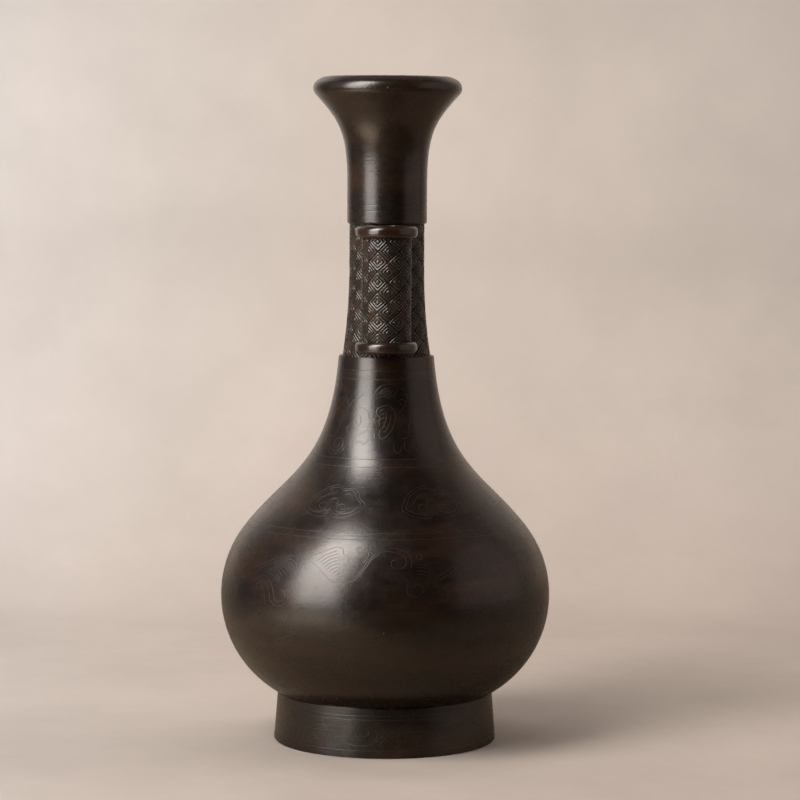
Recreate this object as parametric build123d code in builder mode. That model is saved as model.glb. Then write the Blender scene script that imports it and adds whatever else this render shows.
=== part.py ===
from build123d import *
import os
from math import acos, cos, degrees, radians, sin, sqrt

# Bronze bottle vase with two tube handles, cast in sections that are brazed and riveted together.
# Millimetres, +Z up. The origin is the centre of the standing ring, on the floor.
# The tube handles stand on the Y axis, one before the neck and one behind it.

# Driving dimensions: cast metal and joints
wall = 2.8                  # shell of the body
braze_gap = 0.1             # room for the brazing metal round every spigot and seat
spigot_length = 8.0         # how far the neck sleeve reaches into its neighbours
spigot_wall = 2.0

# Driving dimensions: foot ring and base plate
foot_radius = 47.0          # at the floor
foot_seam_radius = 45.4     # at the upper edge
foot_height = 20.4
foot_step = 0.9             # ledge left outside the belly at the seam
foot_wall = 3.6
foot_top_edge = 0.4         # worn rounding of the upper edge
foot_edge = 1.2             # rounding of the standing edge, outside
foot_inner_edge = 0.6       # and inside
ledge_height = 8.5          # floor to the underside of the ledge
ledge_thickness = 2.6
ledge_width = 4.5
base_plate_thickness = 2.6

# Driving dimensions: body
body_height = 142.7         # foot seam to the step at the recess
belly_radius = 69.5
belly_round = 47.0          # section radius of the belly
belly_round_end = 38.0      # degrees above the widest line, where the shoulder sweep takes over
shoulder_pull = 29.0        # how far the sweep follows the belly's direction
neck_pull = 47.0            # how far it follows the neck's direction
body_top_radius = 20.05
body_top_lean = 4.7         # degrees off upright at the top edge
body_top_edge = 0.5         # worn rounding of the top edge
socket_wall = 3.0           # metal left round the lower socket

# Driving dimensions: neck sleeve in the recess
neck_height = 55.3
neck_radius = 15.75
neck_foot_radius = 18.5
neck_straight = 18.4        # length of the straight stretch below the mouth section

# Driving dimensions: mouth section
mouth_radius = 16.75        # straight upper neck
mouth_socket_wall = 2.25    # metal left round the upper socket
mouth_bore = 13.9
mouth_edge = 1.0            # rounding of the lower edge
flare_start = 15.5          # above the lower edge, where the trumpet leaves the straight neck
flare_pull = 22.8           # how far the trumpet follows the straight neck's direction
flare_angle = 42.2          # degrees off upright where the trumpet runs into the lip
lip_pull = 15.4             # how far the trumpet follows that direction
lip_height = 56.6           # lower edge to the widest line of the lip
lip_radius = 31.2
lip_bead = 3.85             # section radius of the rolled edge
lip_bead_turn = 93.5        # degrees that the rolled edge turns inward
lip_rise = 5.0              # widest line of the lip up to its top
lip_opening = 24.0          # radius of the inner edge
lip_inner_edge = 1.0        # rounding of the inner edge
funnel_start = 21.8         # above the lower edge, where the bore starts to open

# Driving dimensions: tube handles and their collars
tube_distance = 25.2        # vase axis to tube axis
tube_radius = 10.3
tube_bore_radius = 6.0
tube_top_gap = 0.2          # below the mouth section
tube_foot_gap = 2.5         # above the step of the body
collar_radius = 12.8
collar_height = 5.0
collar_edge = 2.0           # rounding of the outer edges
collar_seat = 0.7           # depth of the rebate that a collar sits in

# Driving dimensions: rivets
rivet_radius = 1.8
rivet_inset = 7.0           # from a collar to the rivet's axis
rivet_head_radius = 3.2     # domed head inside the neck
rivet_head_height = 1.2
rivet_sink_radius = 3.0     # countersunk end, flush with the tube's bore
rivet_sink_depth = 1.2

# Levels, worked out from the floor up
foot_top = foot_height
base_plate_foot = ledge_height + ledge_thickness
base_plate_top = base_plate_foot + base_plate_thickness
body_top = foot_top + body_height
neck_top = body_top + neck_height
neck_straight_end = neck_top - neck_straight
tube_top = neck_top - tube_top_gap
tube_foot = body_top + tube_foot_gap
tube_length = tube_top - tube_foot

# Fits, worked out from the pieces that carry them
body_seam_radius = foot_seam_radius - foot_step
foot_bore = foot_seam_radius - foot_wall
foot_flare = (foot_radius - foot_seam_radius) / foot_height
foot_spigot_radius = foot_bore - braze_gap
foot_spigot_bore = foot_spigot_radius - wall
lower_socket_radius = body_top_radius - socket_wall
lower_spigot_radius = lower_socket_radius - braze_gap
lower_spigot_bore = lower_spigot_radius - spigot_wall
upper_socket_radius = mouth_radius - mouth_socket_wall
upper_spigot_radius = upper_socket_radius - braze_gap
neck_bore = upper_spigot_radius - spigot_wall
tube_seat_radius = tube_radius - collar_seat
tube_back = tube_distance - tube_bore_radius
rivet_start = neck_bore - rivet_head_height
rivet_sink_start = tube_back - rivet_sink_depth
rivet_heights = (tube_foot + collar_height + rivet_inset, tube_top - collar_height - rivet_inset)
rivet_places = [(0, height) for height in rivet_heights]

# Centre of the belly's round, so that the belly meets the foot ring at its seam,
# and the angles at which its outside starts at the seam and its inside at the spigot
belly_centre_radius = belly_radius - belly_round
belly_centre_height = foot_top + sqrt(belly_round**2 - (body_seam_radius - belly_centre_radius) ** 2)
belly_inner_round = belly_round - wall
seam_angle = -degrees(acos((body_seam_radius - belly_centre_radius) / belly_round))
spigot_angle = -degrees(acos((foot_spigot_bore - belly_centre_radius) / belly_inner_round))

upper_socket_top = neck_top + spigot_length + braze_gap
lip_level = neck_top + lip_height
lip_top = lip_level + lip_rise

os.makedirs("parts", exist_ok=True)


def finish(piece, name):
    """Label a finished piece and write it to its own file."""
    piece.label = name
    export_step(piece, f"parts/{name}.step")


def neck_form(grow):
    """Solid of the neck's outer form, grown by a joint gap: straight above, flaring to its foot."""
    with BuildPart() as form:
        with BuildSketch(Plane.XZ):
            with BuildLine():
                straight = Line((neck_radius + grow, neck_top), (neck_radius + grow, neck_straight_end))
                spread = TangentArc(straight @ 1, (neck_foot_radius + grow, body_top), tangent=(0, -1))
                Polyline(spread @ 1, (0, body_top), (0, neck_top), straight @ 0)
            make_face()
        revolve(axis=Axis.Z)
    return form.part


def rivet_form(grow):
    """Shanks and sunk ends of one handle's rivets, grown by a joint gap, from the neck to the bore."""
    with BuildPart() as form:
        with BuildSketch(Plane.XZ.offset(rivet_start)):
            with Locations(*rivet_places):
                Circle(rivet_radius + grow)
        extrude(amount=tube_back - rivet_start)
        for height in rivet_heights:
            with Locations(Plane((0, -rivet_sink_start, height), z_dir=(0, -1, 0))):
                Cone(
                    rivet_radius + grow,
                    rivet_sink_radius + grow,
                    rivet_sink_depth,
                    align=(Align.CENTER, Align.CENTER, Align.MIN),
                )
        with BuildSketch(Plane.XZ.offset(tube_back)):
            with Locations(*rivet_places):
                Circle(rivet_sink_radius + grow)
        extrude(amount=tube_bore_radius)
    return form.part


# Foot ring: a flared standing ring with a ledge inside that carries the base plate
with BuildPart() as foot_ring:
    with BuildSketch(Plane.XZ) as foot_profile:
        with BuildLine():
            Polyline(
                (foot_radius, 0),
                (foot_seam_radius, foot_top),
                (foot_bore, foot_top),
                (foot_bore, base_plate_foot),
                (foot_bore - ledge_width, base_plate_foot),
                (foot_bore - ledge_width, ledge_height),
                (foot_radius - foot_wall - foot_flare * ledge_height, ledge_height),
                (foot_radius - foot_wall, 0),
                close=True,
            )
        make_face()
        for side, rounding in ((0, foot_inner_edge), (-1, foot_edge)):
            standing_corners = foot_profile.vertices().group_by(Axis.Y)[0].sort_by(Axis.X)
            fillet(standing_corners[side], min(rounding, 0.45 * foot_wall))
        upper_corners = foot_profile.vertices().group_by(Axis.Y)[-1].sort_by(Axis.X)
        fillet(upper_corners[-1], min(foot_top_edge, 0.45 * foot_step))
    revolve(axis=Axis.Z)
finish(foot_ring.part, "foot_ring")

# Base plate: the floor of the vessel, held between the ledge and the body's spigot
with BuildPart() as base_plate:
    with BuildSketch(Plane.XY.offset(base_plate_foot)):
        Circle(foot_bore - braze_gap)
    extrude(amount=base_plate_thickness)
finish(base_plate.part, "base_plate")

# Body: belly, shoulder and lower neck as one shell, with a spigot below and a socket above
with BuildPart() as body:
    with BuildSketch(Plane.XZ):
        with BuildLine():
            centre = (belly_centre_radius, belly_centre_height)
            upward = Vector(-sin(radians(body_top_lean)), cos(radians(body_top_lean)))
            top_edge = Vector(body_top_radius, body_top)
            belly = CenterArc(centre, belly_round, seam_angle, belly_round_end - seam_angle)
            shoulder = Bezier(
                belly @ 1,
                belly @ 1 + (belly % 1) * shoulder_pull,
                top_edge - upward * neck_pull,
                top_edge,
            )
            socket_end = top_edge - upward * spigot_length / cos(radians(body_top_lean)) - Vector(wall, 0)
            belly_inside = CenterArc(centre, belly_inner_round, spigot_angle, belly_round_end - spigot_angle)
            shoulder_inside = Bezier(
                belly_inside @ 1,
                belly_inside @ 1 + (belly_inside % 1) * shoulder_pull,
                socket_end - upward * (neck_pull - spigot_length),
                socket_end,
            )
            Polyline(
                shoulder @ 1,
                (lower_socket_radius, body_top),
                (lower_socket_radius, socket_end.Y),
                shoulder_inside @ 1,
            )
            Polyline(
                belly_inside @ 0,
                (foot_spigot_bore, base_plate_top),
                (foot_spigot_radius, base_plate_top),
                (foot_spigot_radius, foot_top),
                belly @ 0,
            )
        make_face()
    revolve(axis=Axis.Z)
    top_edges = body.edges().filter_by(GeomType.CIRCLE).group_by(Axis.Z)[-1].sort_by(SortBy.RADIUS)
    fillet(top_edges[-1], min(body_top_edge, 0.45 * socket_wall))
finish(body.part, "body")

# Neck sleeve: the recessed middle of the neck, with a spigot at each end and holes for the rivets
neck_solid = neck_form(0)
rivet_holes = rivet_form(braze_gap)
with BuildPart() as neck_sleeve:
    add(neck_solid)
    with BuildSketch(Plane.XY.offset(neck_top)):
        Circle(upper_spigot_radius)
    extrude(amount=spigot_length)
    with BuildSketch(Plane.XY.offset(body_top)):
        Circle(lower_spigot_radius)
    extrude(amount=-spigot_length)
    with BuildSketch(Plane.XZ):
        with BuildLine():
            bore = Line((neck_bore, neck_top + spigot_length), (neck_bore, neck_straight_end))
            bore_flare = TangentArc(
                bore @ 1, (lower_spigot_bore, body_top - spigot_length), tangent=(0, -1)
            )
            Polyline(
                bore_flare @ 1,
                (0, body_top - spigot_length),
                (0, neck_top + spigot_length),
                bore @ 0,
            )
        make_face()
    revolve(axis=Axis.Z, mode=Mode.SUBTRACT)
    add(rivet_holes, mode=Mode.SUBTRACT)
    mirror(rivet_holes, about=Plane.XZ, mode=Mode.SUBTRACT)
finish(neck_sleeve.part, "neck_sleeve")

# Mouth section: straight upper neck, trumpet and rolled lip, with a socket below
with BuildPart() as mouth_section:
    with BuildSketch(Plane.XZ) as mouth_profile:
        with BuildLine():
            upper_neck = Line((mouth_radius, neck_top), (mouth_radius, neck_top + flare_start))
            bead = CenterArc((lip_radius - lip_bead, lip_level), lip_bead, -flare_angle, lip_bead_turn)
            Bezier(
                upper_neck @ 1,
                upper_neck @ 1 + Vector(0, flare_pull),
                bead @ 0 - (bead % 0) * lip_pull,
                bead @ 0,
            )
            lip_face = TangentArc(bead @ 1, (lip_opening, lip_top), tangent=bead % 1)
            funnel = TangentArc((mouth_bore, neck_top + funnel_start), lip_face @ 1, tangent=(0, 1))
            Polyline(
                funnel @ 0,
                (mouth_bore, upper_socket_top),
                (upper_socket_radius, upper_socket_top),
                (upper_socket_radius, neck_top),
                upper_neck @ 0,
            )
        make_face()
        fillet(mouth_profile.vertices().sort_by(Axis.Y)[-1], lip_inner_edge)
        lower_corners = mouth_profile.vertices().group_by(Axis.Y)[0].sort_by(Axis.X)
        fillet(lower_corners[-1], min(mouth_edge, 0.45 * mouth_socket_wall))
    revolve(axis=Axis.Z)
finish(mouth_section.part, "mouth_section")

# Tube handle: its back is hollowed to sit on the neck, its ends are turned down for the collars
neck_seat = neck_form(braze_gap)
with BuildPart() as front_handle_tube:
    for foot, length, radius in (
        (tube_foot, tube_length, tube_seat_radius),
        (tube_foot + collar_height, tube_length - 2 * collar_height, tube_radius),
    ):
        with BuildSketch(Plane.XY.offset(foot)):
            with Locations((0, -tube_distance)):
                Circle(radius)
        extrude(amount=length)
    with BuildSketch(Plane.XY.offset(tube_foot)):
        with Locations((0, -tube_distance)):
            Circle(tube_bore_radius)
    extrude(amount=tube_length, mode=Mode.SUBTRACT)
    add(neck_seat, mode=Mode.SUBTRACT)
    add(rivet_holes, mode=Mode.SUBTRACT)
finish(front_handle_tube.part, "front_handle_tube")

with BuildPart() as rear_handle_tube:
    mirror(front_handle_tube.part, about=Plane.XZ)
finish(rear_handle_tube.part, "rear_handle_tube")

# Collars: plain rounded bands in the rebates at both ends of each tube, cut back to the neck
collar_feet = {"lower_collar": tube_foot, "upper_collar": tube_top - collar_height}
for name, foot in collar_feet.items():
    with BuildPart() as front_collar:
        with BuildSketch(Plane.XY.offset(foot)):
            with Locations((0, -tube_distance)):
                Circle(collar_radius)
                Circle(tube_seat_radius + braze_gap, mode=Mode.SUBTRACT)
        extrude(amount=collar_height)
        rims = front_collar.edges().filter_by(GeomType.CIRCLE).sort_by(SortBy.RADIUS)[-2:]
        fillet(rims, min(collar_edge, 0.45 * collar_height))
        add(neck_seat, mode=Mode.SUBTRACT)
    finish(front_collar.part, f"front_{name}")

    with BuildPart() as rear_collar:
        mirror(front_collar.part, about=Plane.XZ)
    finish(rear_collar.part, f"rear_{name}")

# Rivets: a domed head inside the neck, a shank through both walls, a sunk end in the tube's bore
rivet_shanks = rivet_form(0)
with BuildPart() as front_rivets:
    with BuildSketch(Plane.XZ.offset(rivet_start)):
        with Locations(*rivet_places):
            Circle(rivet_head_radius)
    extrude(amount=rivet_head_height + spigot_wall)
    add(neck_sleeve.part, mode=Mode.SUBTRACT)
    add(rivet_shanks)
    with BuildSketch(Plane.XY.offset(tube_foot)):
        with Locations((0, -tube_distance)):
            Circle(tube_bore_radius)
    extrude(amount=tube_length, mode=Mode.SUBTRACT)
with BuildPart() as handle_rivets:
    add(front_rivets.part)
    mirror(front_rivets.part, about=Plane.XZ)
finish(handle_rivets.part, "handle_rivets")

print(f"height {lip_top:.2f} mm, widest {2 * belly_radius:.2f} mm, neck bore {2 * neck_bore:.2f} mm")
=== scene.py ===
"""Looks of a dark bronze bottle vase with two tube handles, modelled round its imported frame.

The turned sections are closed meshes whose engraved lines and cast relief are real geometry.
Sizes are in millimetres while a piece is shaped, and in metres once it is finished.
"""

import logging
import math
from bisect import bisect_right
from collections.abc import Iterable, Sequence
from dataclasses import dataclass, field
from enum import Enum, IntEnum

import bmesh
import bpy
from bmesh.types import BMEdge, BMesh, BMVert
from bpy.types import Material, Node, NodeSocket, NodeTree, Object
from mathutils import Matrix, Vector, noise
from mathutils.geometry import delaunay_2d_cdt, interpolate_bezier
from mathutils.kdtree import KDTree


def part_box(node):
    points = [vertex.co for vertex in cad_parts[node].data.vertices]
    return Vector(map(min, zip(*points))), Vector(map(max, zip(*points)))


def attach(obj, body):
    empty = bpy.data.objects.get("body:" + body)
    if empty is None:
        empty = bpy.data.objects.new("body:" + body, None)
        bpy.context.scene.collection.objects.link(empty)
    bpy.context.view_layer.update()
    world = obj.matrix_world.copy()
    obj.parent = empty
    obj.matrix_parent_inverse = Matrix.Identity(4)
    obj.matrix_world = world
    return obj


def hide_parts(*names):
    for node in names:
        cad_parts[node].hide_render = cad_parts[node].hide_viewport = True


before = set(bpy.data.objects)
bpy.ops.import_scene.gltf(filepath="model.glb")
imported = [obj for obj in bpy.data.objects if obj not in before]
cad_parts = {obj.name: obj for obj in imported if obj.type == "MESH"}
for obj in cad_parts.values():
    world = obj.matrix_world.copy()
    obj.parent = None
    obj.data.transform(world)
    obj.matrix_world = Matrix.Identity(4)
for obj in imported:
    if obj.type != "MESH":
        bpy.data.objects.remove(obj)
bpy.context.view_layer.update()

LOG = logging.getLogger("vase")
MM = 0.001
DEPTH_LAYER = "engraving"
FACING_LAYER = "facing"
WELD = 0.004
RELIEF_WELD = 0.02
RELIEF_SHARP = 80.0
Flat = tuple[float, float]
Place = tuple[float, float, float]
Colour = tuple[float, float, float]
Fade = tuple[float, float, float, float]


class Slot(Enum):
    """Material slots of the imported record."""

    DARK = "dark_bronze"
    RELIEF = "relief_bronze"
    COLLAR = "collar_bronze"
    INNER = "inner_bronze"


class Facing(IntEnum):
    """Where a face's shading normals come from."""

    ROUNDED = 0
    TURNED = 1
    CUT = 2


class HandleSide(Enum):
    """Which handle, and the way that it faces along Y."""

    FRONT = ("front_handle_tube", 0.0)
    REAR = ("rear_handle_tube", math.pi)


def node_span(name: str) -> tuple[Vector, Vector]:
    """Lowest and highest corner of a node of the frame, in millimetres."""
    low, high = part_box(name)
    return low / MM, high / MM


FOOT_TOP = node_span("foot_ring")[1].z
BODY_TOP = node_span("body")[1].z
MOUTH_FOOT = node_span("mouth_section")[0].z
TUBE_FOOT, TUBE_TOP = (corner.z for corner in node_span("front_handle_tube"))
COLLAR_HEIGHT = node_span("front_lower_collar")[1].z - node_span("front_lower_collar")[0].z


# Curves


def arc(centre: Flat, radius: float, start: float, end: float, count: int) -> list[Vector]:
    """Points on a circular arc.

    Args:
        centre: Centre of the circle.
        radius: Radius of the circle.
        start: Angle of the first point, in degrees.
        end: Angle of the last point, in degrees.
        count: Number of spans.

    Returns:
        The points in order, ends included.
    """
    angles = [math.radians(start + (end - start) * i / count) for i in range(count + 1)]
    return [Vector((centre[0] + radius * math.cos(a), centre[1] + radius * math.sin(a))) for a in angles]


def tangent_arc(start: Flat, end: Flat, heading: Flat, count: int) -> list[Vector]:
    """Points on the arc that leaves start along heading and reaches end.

    Args:
        start: First point.
        end: Last point.
        heading: Direction of the arc at its start.
        count: Number of spans.

    Returns:
        The points in order, ends included.
    """
    chord = Vector(end) - Vector(start)
    side = Vector((-heading[1], heading[0])).normalized()
    radius = chord.length_squared / (2 * chord.dot(side))
    centre = Vector(start) + side * radius
    sweep = math.copysign(2 * Vector(heading).angle(chord), radius)
    spoke = Vector(start) - centre
    return [centre + Matrix.Rotation(sweep * i / count, 2) @ spoke for i in range(count + 1)]


def smooth_line(points: Sequence[Flat], step: float, closed: bool = False) -> list[Vector]:
    """Points at even steps on a smooth line through a few given ones.

    Args:
        points: Points that the line passes through.
        step: Longest distance between two points of the result.
        closed: Whether the line returns to its first point.

    Returns:
        The points in order, with the first one not repeated at the end of a closed line.
    """
    given = [Vector(p) for p in points]
    if closed:
        given = [given[-1], *given, given[0], given[1]]
    else:
        given = [given[0] * 2 - given[1], *given, given[-1] * 2 - given[-2]]
    line = []
    for a, b, c, d in zip(given, given[1:], given[2:], given[3:]):
        slope, bend, twist = c - a, a * 2 - b * 5 + c * 4 - d, b * 3 - a - c * 3 + d
        spans = max(2, math.ceil((c - b).length / step))
        for t in (i / spans for i in range(spans)):
            line.append((b * 2 + slope * t + bend * t**2 + twist * t**3) / 2)
    return line if closed else [*line, given[-2]]


# Turned surfaces and what is cut into them


class TurnedSurface:
    """Outside of a turned piece, which can be opened out flat with its angles kept.

    A place on it is (turn, rise). Turn is the angle about the axis, from the front to the right.
    Rise is the length along the profile, with each bit divided by its radius.
    """

    def __init__(self, profile: Sequence[Vector]) -> None:
        """Measures a profile.

        Args:
            profile: Closely spaced (radius, height) points, from the lowest to the highest.
        """
        self.profile = list(profile)
        self.heights = [p.y for p in self.profile]
        self.rises = [0.0]
        for a, b in zip(self.profile, self.profile[1:]):
            self.rises.append(self.rises[-1] + (b - a).length * 2 / (a.x + b.x))
        ends = [self.profile[0], *self.profile, self.profile[-1]]
        along = [(c - a).normalized() for a, c in zip(ends, ends[2:])]
        self.outward = [Vector((t.y, -t.x)) for t in along]

    def _between(self, table: Sequence[float], value: float) -> tuple[int, float]:
        """Index and share of the way to the next entry at which a rising table has a value."""
        i = min(max(bisect_right(table, value) - 1, 0), len(table) - 2)
        return i, (value - table[i]) / (table[i + 1] - table[i])

    def rise_at(self, height: float) -> float:
        """Rise of the profile at a height."""
        i, t = self._between(self.heights, height)
        return self.rises[i] + (self.rises[i + 1] - self.rises[i]) * t

    def radius_at(self, rise: float) -> float:
        """Radius of the profile at a rise."""
        i, t = self._between(self.rises, rise)
        return self.profile[i].lerp(self.profile[i + 1], t).x

    def place(self, turn: float, rise: float, depth: float = 0.0) -> Vector:
        """Point in space at a place on the surface.

        Args:
            turn: Angle about the axis.
            rise: Place along the profile.
            depth: How far the point lies below the surface.

        Returns:
            The point.
        """
        i, t = self._between(self.rises, rise)
        point = self.profile[i].lerp(self.profile[i + 1], t)
        point -= self.outward[i].lerp(self.outward[i + 1], t).normalized() * depth
        return Vector((point.x * math.sin(turn), -point.x * math.cos(turn), point.y))

    def normal(self, point: Vector) -> Vector:
        """Outward direction of the surface.

        Args:
            point: A point in space that lies on it.

        Returns:
            The direction, of length 1.
        """
        i, t = self._between(self.heights, point.z)
        out = self.outward[i].lerp(self.outward[i + 1], min(max(t, 0.0), 1.0)).normalized()
        turn = math.atan2(point.x, -point.y)
        return Vector((out.x * math.sin(turn), -out.x * math.cos(turn), out.y))


@dataclass
class Stroke:
    """One engraved line on an opened-out surface: its middle, and half its width at each point."""

    middle: list[Vector]
    halves: list[float]
    closed: bool = False

    def moved(self, turn: float) -> "Stroke":
        """The same line further round the surface."""
        return Stroke([p + Vector((turn, 0)) for p in self.middle], self.halves, self.closed)

    def sides(self) -> tuple[list[Vector], list[Vector]]:
        """Edges of the line.

        Returns:
            The left and the right one.
        """
        count = len(self.middle)
        left, right = [], []
        for i, (point, half) in enumerate(zip(self.middle, self.halves)):
            before = self.middle[i - 1 if self.closed else max(i - 1, 0)]
            after = self.middle[(i + 1) % count if self.closed else min(i + 1, count - 1)]
            across = (after - before).normalized().orthogonal() * half
            left.append(point + across)
            right.append(point - across)
        return left, right


class Burin:
    """Draws engraved lines on a turned surface, in millimetres about one place on it.

    Its lines have points at most a step apart, one width, and tips of one length.
    """

    STEP = 0.45
    TIP = 1.4
    WIDTH = 0.32
    CURL_SPANS = 12
    LEAST_SPANS = 8

    def __init__(self, surface: TurnedSurface, turn: float, height: float) -> None:
        """Sets the place that drawings are measured from.

        Args:
            surface: The surface to draw on.
            turn: Place about the axis, in degrees.
            height: Place along the axis.
        """
        self.surface = surface
        self.turn = math.radians(turn)
        self.rise = surface.rise_at(height)
        self.scale = 1 / surface.radius_at(self.rise)
        self.strokes: list[Stroke] = []

    def _add(self, line: Sequence[Vector], closed: bool) -> None:
        """Keeps a drawn line, with pointed ends unless it is closed.

        Args:
            line: Points of the line, in millimetres from the place.
            closed: Whether it returns to its first point.
        """
        travelled = [0.0]
        for a, b in zip(line, line[1:]):
            travelled.append(travelled[-1] + (b - a).length)
        middle, halves = [], []
        for point, here in zip(line, travelled):
            place = Vector((self.turn, self.rise)) + point * self.scale
            tip = 1.0 if closed else min(1.0, min(here, travelled[-1] - here) / self.TIP)
            middle.append(place)
            halves.append(self.WIDTH / 2 * tip / self.surface.radius_at(place.y))
        self.strokes.append(Stroke(middle, halves, closed))

    def cut(self, *points: Flat) -> None:
        """One line through the given points, pointed at both ends."""
        self._add(smooth_line(points, self.STEP), closed=False)

    def loop(self, *points: Flat) -> None:
        """One closed line through the given points."""
        self._add(smooth_line(points, self.STEP, closed=True), closed=True)

    def curl(self, centre: Flat, radius: float, start: float, turns: float, end: float = 0.25) -> None:
        """A spiral that winds in.

        Args:
            centre: Centre of the spiral.
            radius: Radius at its outer end.
            start: Angle of its outer end, in degrees.
            turns: Number of turns, negative for clockwise.
            end: Share of the radius that is left at its inner end.
        """
        spans = max(self.LEAST_SPANS, round(abs(turns) * self.CURL_SPANS))
        points = []
        for i in range(spans + 1):
            angle = math.radians(start + 360 * turns * i / spans)
            reach = radius * (1 - (1 - end) * i / spans)
            points.append((centre[0] + reach * math.cos(angle), centre[1] + reach * math.sin(angle)))
        self.cut(*points)

    def barbs(self, roots: Sequence[Flat], tips: Sequence[Flat], count: int, bow: float) -> None:
        """Side by side feather lines between two guide lines.

        Args:
            roots: First and last start of the lines.
            tips: First and last end of the lines.
            count: Number of lines.
            bow: How far each line bends aside at its middle.
        """
        for i in range(count):
            share = i / (count - 1)
            root = Vector(roots[0]).lerp(Vector(roots[1]), share)
            tip = Vector(tips[0]).lerp(Vector(tips[1]), share)
            middle = (root + tip) / 2 + (tip - root).normalized().orthogonal() * bow
            self.cut(tuple(root), tuple(middle), tuple(tip))


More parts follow.
